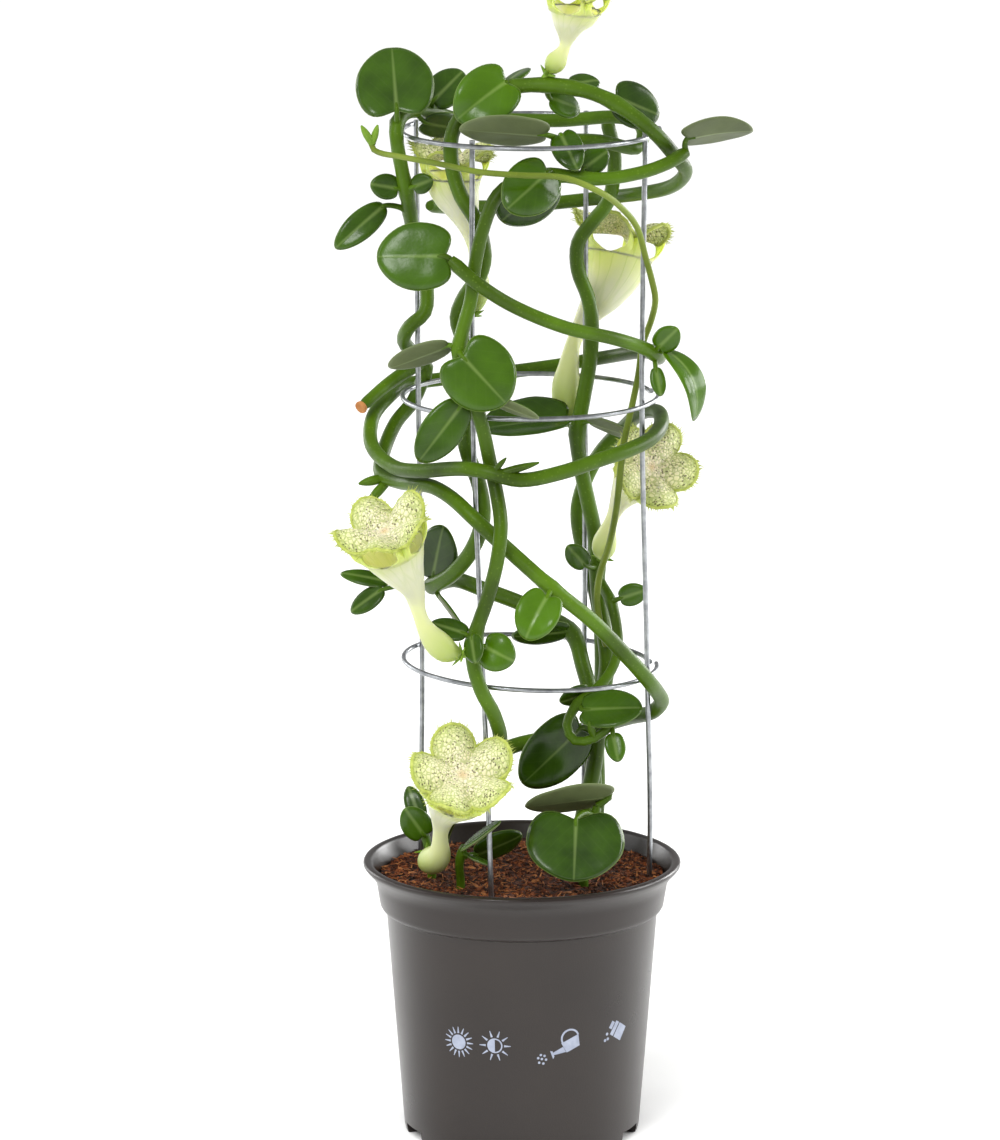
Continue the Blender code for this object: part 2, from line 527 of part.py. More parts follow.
def ring_route(height, rise):
    """A full turn of wire about the cage's axis, whose ends pass each other."""
    points = []
    for i in range(RING_STEPS + 1):
        share = i / RING_STEPS
        angle = math.radians(-2 + 370 * share)
        radius = RING_RADIUS + max(0.0, share - 0.93) * 22 - max(0.0, 0.07 - share) * 22
        lift = max(0.0, 0.04 - share) * 60
        x = radius * math.cos(angle)
        points.append((CAGE_AXIS_X + x, radius * math.sin(angle),
                       height + rise * x / RING_RADIUS + lift))
    return points


def build_cage(parts, material):
    """Four stakes and three rings of wire."""
    for name, points in STAKES.items():
        route = route_through(points, step=60)
        tube_curve(name, route, [STAKE_RADIUS] * len(route), parts, 1, material)
    for name, (height, rise) in RINGS.items():
        route = ring_route(height, rise)
        tube_curve(name, route, [RING_WIRE] * len(route), parts, 1, material)


def blade_outline(angle, length, width, lobe):
    """A point on a heart-shaped blade's edge: along the midrib, and across it. Angle 0 is the notch."""
    turn = math.cos(angle)
    round_share = min(max((width / length - NARROW_BLADE) / (1 - NARROW_BLADE), 0.0), 1.0)
    lobes = LOBE_DEPTH * lobe * abs(math.sin(angle)) * ((1 + turn) / 2)**3
    along = length * (0.5 - 0.5 * turn - lobes)
    taper = BLADE_TAPER + (ROUND_BLADE_TAPER - BLADE_TAPER) * round_share
    reach = abs(math.sin(angle))**(1 - ROUND_SIDES * round_share)
    across = width / 2 * math.copysign(reach, math.sin(angle))
    return along, across * (1 - taper * ((1 - turn) / 2)**3)


def blade_builder(foot, tip, width, facing, fold, bend, lobe, points):
    """Draws an open blade: an edge of points, one ring inside it and a middle."""
    foot, tip = Vector(foot), Vector(tip)
    midrib = tip - foot
    length = midrib.length
    midrib.normalize()
    normal = Vector(facing)
    normal = (normal - midrib * normal.dot(midrib)).normalized()
    side = normal.cross(midrib)
    rise = math.tan(math.radians(fold))

    def place(along, across):
        share = min(max(along / length, 0.0), 1.0)
        height = abs(across) * rise + 4 * bend * length * share * (1 - share)
        return (foot + midrib * along + side * across + normal * height) * MM

    def build(shape):
        centre = shape.verts.new(place(length * 0.42, 0.0))
        rings = []
        for scale in (0.55, 1.0) if points == BLADE_POINTS else (1.0,):
            ring = []
            for i in range(points):
                along, across = blade_outline(2 * math.pi * i / points, length, width, lobe)
                along = length * 0.42 + (along - length * 0.42) * scale
                ring.append(shape.verts.new(place(along, across * scale)))
            rings.append(ring)
        for i in range(points):
            j = (i + 1) % points
            shape.faces.new((centre, rings[0][i], rings[0][j]))
            for inner, outer in zip(rings, rings[1:]):
                shape.faces.new((inner[i], outer[i], outer[j]))
                shape.faces.new((inner[i], outer[j], inner[j]))

    return build


def add_leaf(name, leaf, others):
    """A blade with its thickness, and the petiole that carries it."""
    joint, foot, tip, width, facing, fold, bend, lobe = leaf
    small = (Vector(tip) - Vector(foot)).length < SMALL_BLADE
    points = 8 if small else BLADE_POINTS
    blade = mesh_object(name, blade_builder(foot, tip, width, facing, fold, bend, lobe, points), others)
    wall = blade.modifiers.new("thickness", "SOLIDIFY")
    wall.thickness = BLADE_THICKNESS * MM
    wall.offset = 0
    wall.use_even_offset = False
    apply_modifiers(blade)
    start, end = Vector(joint), Vector(foot)
    inside = end + (Vector(tip) - end).normalized() * 2.5
    petiole = tube_curve(
        f"{name}_petiole", [start, end, inside], [PETIOLE_RADIUS, PETIOLE_RADIUS, 0.5], others, 0)
    meshed(petiole)


def build_stem(name, parts, material):
    """A stem with its branches, leaves, buds and stubs fused into one solid."""
    radius, points = STEMS[name]
    others = new_collection(f"{name}_pieces")
    stem = tapered(name, radius, points, parts)
    stem.data.materials.append(material)
    for i, (thickness, route) in enumerate(BRANCHES.get(name, [])):
        tapered(f"{name}_branch_{i}", thickness, route, others)
    for i, leaf in enumerate(LEAVES.get(name, [])):
        add_leaf(f"{name}_leaf_{i}", leaf, others)
    for i, (foot, tip, width) in enumerate(BUDS.get(name, [])):
        middle = (Vector(foot) + Vector(tip)) / 2
        bud = tube_curve(f"{name}_bud_{i}", [foot, middle, tip], [width, width, width * 0.6], others, 1)
        meshed(bud)
    if others.objects:
        fuse(stem, "grow", others)
    else:
        bpy.data.collections.remove(others)


def tapered(name, radius, points, collection):
    """A stem's tube, thinner towards its tip."""
    route = route_through(points)
    resolution = 2 if radius > 2.5 else 1 if radius > 1.5 else 0
    return meshed(tube_curve(name, route, stem_radii(radius, route), collection, resolution))


def profile_radius(share):
    """The flower tube's radius at a share of its length, as a share of the canopy's radius."""
    for (a, low), (b, high) in zip(TUBE_PROFILE, TUBE_PROFILE[1:]):
        if share <= b:
            return low + (high - low) * (share - a) / (b - a)
    return TUBE_PROFILE[-1][1]


def frame_of(axis):
    """Two directions square to an axis, the same for axes that are nearly the same."""
    across = Vector((0, 1, 0)).cross(axis)
    if across.length < 0.2:
        across = Vector((1, 0, 0)).cross(axis)
    across.normalize()
    return across, axis.cross(across).normalized()


def stem_radii(radius, route):
    """The radius at each point of a stem, thinner towards its tip."""
    last = len(route) - 1
    return [radius * (1 - (1 - TIP_TAPER) * i / last) for i in range(len(route))]


def beside_stem(stem, joint, foot, width):
    """The start of a stalk of that radius, clear of its stem by the gap, on the line from joint to foot."""
    radius, points = STEMS[stem]
    route = route_through(points)
    near = min(range(len(route)), key=lambda i: (route[i] - Vector(joint)).length)
    along = (route[min(near + 1, len(route) - 1)] - route[max(near - 1, 0)]).normalized()
    towards = (foot - Vector(joint)).normalized()
    slope = abs(towards.dot(along))
    reach = (stem_radii(radius, route)[near] + GAP + width * slope) / math.sqrt(1 - slope**2)
    return Vector(joint) + towards * reach


def tube_builder(route, axis, size):
    """Draws a closed flower tube whose mouth is a shallow dish."""

    def build(shape):
        last = len(route) - 1
        sections = []
        for i, point in enumerate(route):
            ahead = route[min(i + 1, last)] - route[max(i - 1, 0)]
            direction = axis if i == last else ahead.normalized()
            sections.append((point, direction, profile_radius(i / last) * size))
        dish = route[last] - axis * DISH_DEPTH * size
        sections.append((dish, axis, DISH_RADIUS * size))
        rings = []
        across, up = frame_of(sections[0][1])
        for point, direction, radius in sections:
            across = (across - direction * across.dot(direction)).normalized()
            up = direction.cross(across)
            ring = []
            for k in range(FLOWER_SIDES):
                angle = 2 * math.pi * k / FLOWER_SIDES
                place = point + (across * math.cos(angle) + up * math.sin(angle)) * radius
                ring.append(shape.verts.new(place * MM))
            rings.append(ring)
        for low, high in zip(rings, rings[1:]):
            for k in range(FLOWER_SIDES):
                j = (k + 1) % FLOWER_SIDES
                shape.faces.new((low[k], low[j], high[j], high[k]))
        shape.faces.new(reversed(rings[0]))
        shape.faces.new(rings[-1])

    return build


def lobe_at(angle):
    """1 in the middle of a canopy's lobe and 0 at the pillar between two lobes."""
    return abs(math.sin(LOBES * angle / 2))


def canopy_height(share, angle):
    """The canopy's height over its pillars: each lobe has a crown behind a raised hem."""
    crown = LOBE_CROWN * math.sin(CROWN_WAVE * math.pi * share)**2 * (0.35 + 0.65 * share)
    hem = LOBE_HEM * share**3
    return MIDDLE_RISE * (1 - share**2) + (crown + hem) * lobe_at(angle)


def canopy_reach(share, angle):
    """The canopy's distance from its middle, as a share of its radius."""
    return share * (LOBE_REACH - LOBE_NOTCH * (1 - lobe_at(angle))**2 * share)


def canopy_builder(centre, axis, size):
    """Draws the open canopy that the five pillars carry."""
    across, up = frame_of(axis)

    def build(shape):
        middle = shape.verts.new((centre + axis * canopy_height(0, 0) * size) * MM)
        rings = []
        for share, count in ((0.6, 10), (1.0, 20)):
            ring = []
            for k in range(count):
                angle = 2 * math.pi * k / count
                reach = size * canopy_reach(share, angle)
                place = centre + (across * math.cos(angle) + up * math.sin(angle)) * reach
                place = place + axis * canopy_height(share, angle) * size
                ring.append(shape.verts.new(place * MM))
            rings.append(ring)
        inner, outer = rings
        for k in range(10):
            j = (k + 1) % 10
            shape.faces.new((middle, inner[k], inner[j]))
            shape.faces.new((inner[k], outer[2 * k], outer[2 * k + 1]))
            shape.faces.new((inner[k], outer[2 * k + 1], inner[j]))
            shape.faces.new((inner[j], outer[2 * k + 1], outer[(2 * k + 2) % 20]))

    return build


def build_flower(name, parts, material):
    """One flower: stalk, swollen tube, funnel, five pillars and the canopy, fused."""
    stem, joint, tube, facing, size = FLOWERS[name]
    axis = Vector(facing).normalized()
    route = route_through(tube, step=8)
    flower = mesh_object(name, tube_builder(route, axis, size), parts, material)
    others = new_collection(f"{name}_pieces")
    start = beside_stem(stem, joint, route[0], STALK_RADIUS)
    stalk = tube_curve(f"{name}_stalk", [start, route[0], route[1]], [STALK_RADIUS, 1.3, 1.0], others, 0)
    meshed(stalk)
    mouth = route[-1]
    centre = mouth + axis * WINDOW_HEIGHT * size
    canopy = mesh_object(f"{name}_canopy", canopy_builder(centre, axis, size), others)
    wall = canopy.modifiers.new("thickness", "SOLIDIFY")
    wall.thickness = CANOPY_THICKNESS * MM
    wall.offset = 0
    apply_modifiers(canopy)
    across, up = frame_of(axis)
    for k in range(LOBES):
        angle = 2 * math.pi * k / LOBES
        outward = across * math.cos(angle) + up * math.sin(angle)
        low = mouth + outward * 0.60 * size - axis * 0.08 * size
        high = centre + outward * 0.62 * size + axis * 0.03 * size
        pillar = tube_curve(f"{name}_pillar_{k}", [low, high], [PILLAR_RADIUS] * 2, others, 0)
        meshed(pillar)
    fuse(flower, "bloom", others, "MANIFOLD")


def main():
    clear_scene()
    parts = new_collection(COLLECTION)
    cutters = new_collection("pot_cutters")
    hole_cutters = new_collection("soil_cutters")
    build_pot(parts, cutters, new_material("grey_plastic", (0.09, 0.08, 0.075), 0.35))
    build_soil(parts, hole_cutters, new_material("peat_soil", (0.035, 0.012, 0.006), 0.95))
    build_cage(parts, new_material("galvanised_wire", (0.45, 0.45, 0.46), 0.35, 1.0))
    for name in STEMS:
        colour = (0.24, 0.25, 0.04) if name == "twig" else (0.05, 0.16, 0.02)
        build_stem(name, parts, new_material(f"green_{name}", colour, 0.4))
    for name in FLOWERS:
        build_flower(name, parts, new_material(f"petal_{name}", (0.65, 0.72, 0.25), 0.5))
    hole_cutters.hide_render = True
    cutters.hide_render = True


main()
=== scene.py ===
# %% [markdown]
# # A potted parachute plant
# A parachute plant is a twining succulent. Fleshy stems as thick as a pencil climb a cage of
# galvanised wire, carry heart-shaped leaves in pairs, and open flowers shaped like small parachutes:
# a swollen foot, a slim tube, a funnel, five arched windows and a speckled canopy with a fringe.
#
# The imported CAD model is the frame. It says where each stem, leaf, flower and wire is, and this lesson
# dresses it: every plant part gets a finer piece along the same route. All routes are in millimetres.

# %% Load the frame
import json
import math
import random

import bmesh
import bpy
from mathutils import Matrix, Vector, noise

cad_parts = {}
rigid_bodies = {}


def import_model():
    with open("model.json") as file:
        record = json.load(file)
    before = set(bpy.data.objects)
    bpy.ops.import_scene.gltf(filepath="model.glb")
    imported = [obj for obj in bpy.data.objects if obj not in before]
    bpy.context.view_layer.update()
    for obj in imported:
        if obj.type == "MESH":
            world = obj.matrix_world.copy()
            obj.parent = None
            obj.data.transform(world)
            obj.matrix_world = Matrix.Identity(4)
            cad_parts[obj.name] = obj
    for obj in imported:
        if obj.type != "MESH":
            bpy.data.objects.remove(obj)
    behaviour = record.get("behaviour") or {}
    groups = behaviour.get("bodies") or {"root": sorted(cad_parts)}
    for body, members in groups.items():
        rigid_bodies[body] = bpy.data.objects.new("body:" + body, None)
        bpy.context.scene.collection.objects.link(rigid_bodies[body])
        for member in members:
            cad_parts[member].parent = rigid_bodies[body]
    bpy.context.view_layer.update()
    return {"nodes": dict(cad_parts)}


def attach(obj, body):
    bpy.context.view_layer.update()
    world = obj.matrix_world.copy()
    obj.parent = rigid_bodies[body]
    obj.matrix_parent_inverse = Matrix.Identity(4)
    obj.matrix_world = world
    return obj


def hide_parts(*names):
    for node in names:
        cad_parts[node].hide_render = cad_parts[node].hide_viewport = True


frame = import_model()
MM = 0.001

# %% [markdown]
# ## The camera
# The photo was taken with a long lens from a little above the rim, about 2.3 m away. The lens comes
# from the pot's rim, which is 120 mm across on the real pot. It is set before any piece is made, so
# that each piece can be checked against the photo as it appears.

# %% The camera
PHOTO_HEIGHT_PX = 1140
FOCAL_PX = 6280.5
camera_data = bpy.data.cameras.new("studio_camera")
camera_data.sensor_width = 36.0
camera_data.lens = FOCAL_PX / PHOTO_HEIGHT_PX * camera_data.sensor_width
camera_data.clip_end = 20.0
camera = bpy.data.objects.new("studio_camera", camera_data)
camera.location = (-0.0083, -2.300, 0.705)
camera.rotation_euler = (math.radians(90 - 11.995), 0, 0)
bpy.context.scene.collection.objects.link(camera)
bpy.context.scene.camera = camera
print("lens:", round(camera_data.lens, 1), "mm")

# %% [markdown]
# ## Small helpers
# Colours are written as the sRGB hex values that a colour picker shows, and Blender's sockets want
# them linear, so one function converts them. Another adds a shader or geometry node with its
# settings and links in one line, which keeps each finish short enough to read in one look. The last
# starts a material.

# %% Helpers for colours and nodes
def linear(hex_colour):
    """The linear colour of an sRGB hex value such as "#4f8a34"."""
    parts = [int(hex_colour[i:i + 2], 16) / 255 for i in (1, 3, 5)]
    return tuple(c / 12.92 if c <= 0.04045 else ((c + 0.055) / 1.055) ** 2.4 for c in parts) + (1.0,)


def add_node(tree, kind, inputs=None, stops=None, **settings):
    """Adds a node. inputs maps a socket to a value or to another node's output; stops colour a ramp."""
    node = tree.nodes.new(kind)
    for name, value in settings.items():
        setattr(node, name, value)
    for key, value in (inputs or {}).items():
        if isinstance(value, bpy.types.NodeSocket):
            tree.links.new(value, node.inputs[key])
        else:
            node.inputs[key].default_value = value
    for place, (position, colour) in enumerate(stops or []):
        elements = node.color_ramp.elements
        element = elements[place] if place < 2 else elements.new(position)
        element.position = position
        element.color = linear(colour)
    return node


def new_finish(name, **settings):
    """A material with its Principled shader, whose plain sockets are set by name."""
    material = bpy.data.materials.new(name)
    material.use_nodes = True
    shader = material.node_tree.nodes["Principled BSDF"]
    for key, value in settings.items():
        shader.inputs[key.replace("_", " ")].default_value = value
    return material, material.node_tree, shader


print("leaf green in linear light:", [round(c, 3) for c in linear("#356b22")])

# %% [markdown]
# ## Leaf blades
# The blade is a fleshy cuticle over green tissue. Its upper side is mid to dark green with a waxy
# gloss, a pale midrib and faint side veins. The underside is matt and grey-green. Real veins are under
# a millimetre wide, so the veins here are drawn on the blade's own UV map, which holds millimetres
# along and across the midrib: U and V of 0 to 1 stand for 50 mm. The midrib tapers and fades towards
# the tip, and slow swells in the relief break the gloss into patches.
# Each leaf's green is painted darker or brighter for the shade or light that falls on it, and a highlight is
# painted along its rim.

# %% Finishes of the leaf blade
UV_SPAN = 50.0
VEIN_SLANT = 1.15
VEIN_GAP_MM = 5.5
SIDE_VEIN_FROM, SIDE_VEIN_SHARE = 0.86, 0.04
MIDRIB_FADED_AT, MIDRIB_AT_TIP = 0.65, 0.3
# A highlight is painted along each blade's rim: near the edge the vein colour is mixed into the green.
RIM_HIGHLIGHT_FROM, RIM_HIGHLIGHT_SHARE = 0.965, 0.4
# Patterns are counted per metre: the mottle is about 11 mm across, the grain 1 mm, the swells 13 mm.
MOTTLE_PER_METRE, MOTTLE = 90.0, 0.7
GRAIN_PER_METRE, GRAIN_RELIEF = 900.0, 0.25
SWELLS_PER_METRE, SWELL_RELIEF = 75.0, 7.0
TISSUE_IOR = 1.45


def leaf_veins(tree, midrib_mm):
    """Returns sockets for the midrib and the side veins, each 1 on the vein and 0 away from it."""
    uv = add_node(tree, "ShaderNodeUVMap", uv_map="UVMap")
    split = add_node(tree, "ShaderNodeSeparateXYZ", {"Vector": uv.outputs["UV"]})
    along = split.outputs["X"]
    across = add_node(tree, "ShaderNodeMath", {0: split.outputs["Y"], 1: 0.5}, operation="SUBTRACT")
    away = add_node(tree, "ShaderNodeMath", {0: across.outputs[0]}, operation="ABSOLUTE")
    taper = add_node(tree, "ShaderNodeMapRange", {
        "Value": along, "From Max": MIDRIB_FADED_AT, "To Min": 1.0, "To Max": MIDRIB_AT_TIP})
    slim = add_node(tree, "ShaderNodeMath", {0: away.outputs[0], 1: taper.outputs[0]},
                    operation="DIVIDE")
    line = add_node(tree, "ShaderNodeMapRange", {
        "Value": slim.outputs[0], "From Max": midrib_mm / UV_SPAN, "To Min": 1.0, "To Max": 0.0},
        interpolation_type="SMOOTHSTEP")
    midrib = add_node(tree, "ShaderNodeMath", {0: line.outputs[0], 1: taper.outputs[0]},
                      operation="MULTIPLY")
    slant = add_node(tree, "ShaderNodeMath", {0: away.outputs[0], 1: -VEIN_SLANT, 2: along},
                     operation="MULTIPLY_ADD")
    wave = add_node(tree, "ShaderNodeMath", {
        0: slant.outputs[0], 1: 2 * math.pi * UV_SPAN / VEIN_GAP_MM}, operation="MULTIPLY")
    sine = add_node(tree, "ShaderNodeMath", {0: wave.outputs[0]}, operation="SINE")
    side = add_node(tree, "ShaderNodeMapRange", {
        "Value": sine.outputs[0], "From Min": SIDE_VEIN_FROM}, interpolation_type="SMOOTHSTEP")
    return midrib.outputs[0], side.outputs[0]


def make_leaf_finish(name, dark, bright, vein, roughness, midrib_mm, vein_share):
    """One side of a blade, its green mixed from dark to bright by each leaf's painted light and shade and by
    a mottle, with a highlight painted along the rim.
    """
    material, tree, shader = new_finish(
        name, Roughness=roughness, IOR=TISSUE_IOR, Specular_IOR_Level=0.42)
    midrib, side = leaf_veins(tree, midrib_mm)
    place = add_node(tree, "ShaderNodeTexCoord").outputs["Object"]
    # Painted light: each leaf's own value, from 0 for painted shade to 1 for painted full light, mixes its
    # green between the dark and the bright green.
    tone = add_node(tree, "ShaderNodeAttribute", attribute_name="tone")
    cloud = add_node(tree, "ShaderNodeTexNoise", {
        "Vector": place, "Scale": MOTTLE_PER_METRE, "Detail": 4.0})
    mottle = add_node(tree, "ShaderNodeMath", {0: cloud.outputs["Fac"], 1: MOTTLE, 2: -MOTTLE / 2},
                      operation="MULTIPLY_ADD")
    share = add_node(tree, "ShaderNodeMath", {0: tone.outputs["Fac"], 1: mottle.outputs[0]},
                     operation="ADD", use_clamp=True)
    green = add_node(tree, "ShaderNodeMix", {
        "Factor": share.outputs[0], 6: linear(dark), 7: linear(bright)}, data_type="RGBA")
    veined = add_node(tree, "ShaderNodeMath", {0: side, 1: SIDE_VEIN_SHARE * vein_share},
                      operation="MULTIPLY")
    ribs = add_node(tree, "ShaderNodeMath", {0: midrib, 1: vein_share}, operation="MULTIPLY")
    both = add_node(tree, "ShaderNodeMath", {0: veined.outputs[0], 1: ribs.outputs[0]},
                    operation="MAXIMUM")
    # Painted highlight: towards the rim the green turns to the vein colour; it joins the real veins below.
    edge = add_node(tree, "ShaderNodeAttribute", attribute_name="edge")
    rim = add_node(tree, "ShaderNodeMapRange", {
        "Value": edge.outputs["Fac"], "From Min": RIM_HIGHLIGHT_FROM, "To Max": RIM_HIGHLIGHT_SHARE})
    pale = add_node(tree, "ShaderNodeMath", {0: both.outputs[0], 1: rim.outputs[0]}, operation="MAXIMUM")
    colour = add_node(tree, "ShaderNodeMix", {
        "Factor": pale.outputs[0], 6: green.outputs[2], 7: linear(vein)}, data_type="RGBA")
    tree.links.new(colour.outputs[2], shader.inputs["Base Color"])
    grain = add_node(tree, "ShaderNodeTexNoise", {"Vector": place, "Scale": GRAIN_PER_METRE})
    swell = add_node(tree, "ShaderNodeTexNoise", {
        "Vector": place, "Scale": SWELLS_PER_METRE, "Detail": 1.0})
    ridges = add_node(tree, "ShaderNodeMath", {
        0: grain.outputs["Fac"], 1: GRAIN_RELIEF, 2: pale.outputs[0]}, operation="MULTIPLY_ADD")
    relief = add_node(tree, "ShaderNodeMath", {
        0: swell.outputs["Fac"], 1: SWELL_RELIEF, 2: ridges.outputs[0]}, operation="MULTIPLY_ADD")
    bump = add_node(tree, "ShaderNodeBump", {
        "Height": relief.outputs[0], "Strength": 0.35, "Distance": 0.4 * MM})
    tree.links.new(bump.outputs["Normal"], shader.inputs["Normal"])
    return material


# The first two greens of each side are the painted shade and the painted light, mixed by each leaf's painted
# light value and by a mottle.
waxy_leaf = make_leaf_finish("waxy_upper_cuticle", "#1b3003", "#466c03", "#9db468", 0.24, 1.3, 0.26)
leaf_underside = make_leaf_finish("matt_leaf_underside", "#4c5636", "#6e7a4c", "#8f9d6c", 0.5, 0.9, 0.5)
print("leaf finishes:", waxy_leaf.name, leaf_underside.name)

# %% [markdown]
# ## Stems, twig and cut end
# The stems are smooth and fleshy with a thin waxy skin, in soft clouds of two greens. Faint pale
# breathing pores dot them, about a millimetre and a half apart. The young climbing shoot is thinner
# and olive, and one old stem ends in a dried, orange-brown cut.

# %% Finishes of the stems
# The clouds are about 31 mm across, the pores 1.6 mm apart and the skin's unevenness 4 mm.
CLOUDS_PER_METRE, PORES_PER_METRE, SKIN_PER_METRE = 32.0, 620.0, 260.0
PORE_MIDDLE, PORE_EDGE, PORE_SHARE = 0.10, 0.24, 0.2


def make_stem_finish(name, dark, bright, pore, roughness):
    """A smooth fleshy stem: soft clouds of green and pale pores."""
    material, tree, shader = new_finish(
        name, Roughness=roughness, IOR=TISSUE_IOR, Specular_IOR_Level=0.25)
    place = add_node(tree, "ShaderNodeTexCoord").outputs["Object"]
    cloud = add_node(tree, "ShaderNodeTexNoise", {
        "Vector": place, "Scale": CLOUDS_PER_METRE, "Detail": 5.0})
    shift = add_node(tree, "ShaderNodeMapRange", {
        "Value": cloud.outputs["Fac"], "From Min": 0.33, "From Max": 0.67})
    green = add_node(tree, "ShaderNodeMix", {
        "Factor": shift.outputs[0], 6: linear(dark), 7: linear(bright)}, data_type="RGBA")
    pores = add_node(tree, "ShaderNodeTexVoronoi", {"Vector": place, "Scale": PORES_PER_METRE})
    dots = add_node(tree, "ShaderNodeMapRange", {
        "Value": pores.outputs["Distance"], "From Min": PORE_MIDDLE, "From Max": PORE_EDGE,
        "To Min": PORE_SHARE, "To Max": 0.0})
    colour = add_node(tree, "ShaderNodeMix", {
        "Factor": dots.outputs[0], 6: green.outputs[2], 7: linear(pore)}, data_type="RGBA")
    tree.links.new(colour.outputs[2], shader.inputs["Base Color"])
    skin = add_node(tree, "ShaderNodeTexNoise", {
        "Vector": place, "Scale": SKIN_PER_METRE, "Detail": 3.0})
    bump = add_node(tree, "ShaderNodeBump", {
        "Height": skin.outputs["Fac"], "Strength": 0.25, "Distance": 0.5 * MM})
    tree.links.new(bump.outputs["Normal"], shader.inputs["Normal"])
    return material


fleshy_stem = make_stem_finish("fleshy_green_stem", "#2c4002", "#4c6c0e", "#7f9a40", 0.38)
olive_twig = make_stem_finish("olive_young_shoot", "#4c5c14", "#748530", "#94923f", 0.5)
dried_cut = make_stem_finish("dried_stem_cut", "#8a4e24", "#c9925a", "#efcf9f", 0.8)
bud_green = make_stem_finish("bright_bud", "#4f701c", "#80a036", "#b0c66a", 0.5)
print("stem finishes:", fleshy_stem.name, olive_twig.name, dried_cut.name, bud_green.name)

# %% [markdown]
# ## Petals
# Petal tissue is thin, soft and lets light through, so it gets some subsurface scattering. The tube is
# yellow-green at its swollen foot and pale up the funnel with green veins, and the canopy is cream
# with a net of green lines and dark specks. The net's cells are about 1.4 mm wide and the specks a
# millimetre apart. The tube's UV map runs round it and along it, and the canopy's holds millimetres.
# Inside the funnel the wall is painted paler than outside, as painted light.

# %% Finishes of the petals
TUBE_CELLS = (20.0, 2.6, 1.0)
TUBE_VEIN_SHARE = 0.45
NET_CELL_MM, NET_SHARE = 1.35, 0.65
SPECK_GAP_MM, SPECK_PATCH_MM, SPECK_SHARE = 1.0, 4.0, 0.85
PETAL_LIGHT_REACH = (1.0, 1.0, 0.5)


def make_tube_finish():
    """The tube and funnel, coloured by the share of the way from the foot to the windows."""
    material, tree, shader = new_finish(
        "petal_tube", Roughness=0.42, Subsurface_Weight=1.0, Subsurface_Scale=0.004,
        Subsurface_Radius=PETAL_LIGHT_REACH)
    way = add_node(tree, "ShaderNodeAttribute", attribute_name="way")
    base = add_node(tree, "ShaderNodeValToRGB", {"Fac": way.outputs["Fac"]}, stops=[
        (0.0, "#7d943a"), (0.14, "#a3b162"), (0.34, "#c3c892"), (0.72, "#d3d6b0"), (0.90, "#bfcb7c"),
        (1.0, "#a7b84e")])
    uv = add_node(tree, "ShaderNodeUVMap", uv_map="UVMap")
    net = add_node(tree, "ShaderNodeMapping", {"Vector": uv.outputs["UV"], "Scale": TUBE_CELLS})
    cells = add_node(tree, "ShaderNodeTexVoronoi", {"Vector": net.outputs[0], "Scale": 1.0},
                     feature="DISTANCE_TO_EDGE")
    lines = add_node(tree, "ShaderNodeMapRange", {
        "Value": cells.outputs["Distance"], "From Min": 0.02, "From Max": 0.10,
        "To Min": TUBE_VEIN_SHARE, "To Max": 0.0})
    fade = add_node(tree, "ShaderNodeMapRange", {
        "Value": way.outputs["Fac"], "From Min": 0.55, "From Max": 0.95})
    amount = add_node(tree, "ShaderNodeMath", {0: lines.outputs[0], 1: fade.outputs[0]},
                      operation="MULTIPLY")
    colour = add_node(tree, "ShaderNodeMix", {
        "Factor": amount.outputs[0], 6: base.outputs["Color"], 7: linear("#9fb850")}, data_type="RGBA")
    tree.links.new(colour.outputs[2], shader.inputs["Base Color"])
    bump = add_node(tree, "ShaderNodeBump", {
        "Height": amount.outputs[0], "Strength": 0.3, "Distance": 0.4 * MM})
    tree.links.new(bump.outputs["Normal"], shader.inputs["Normal"])
    return material


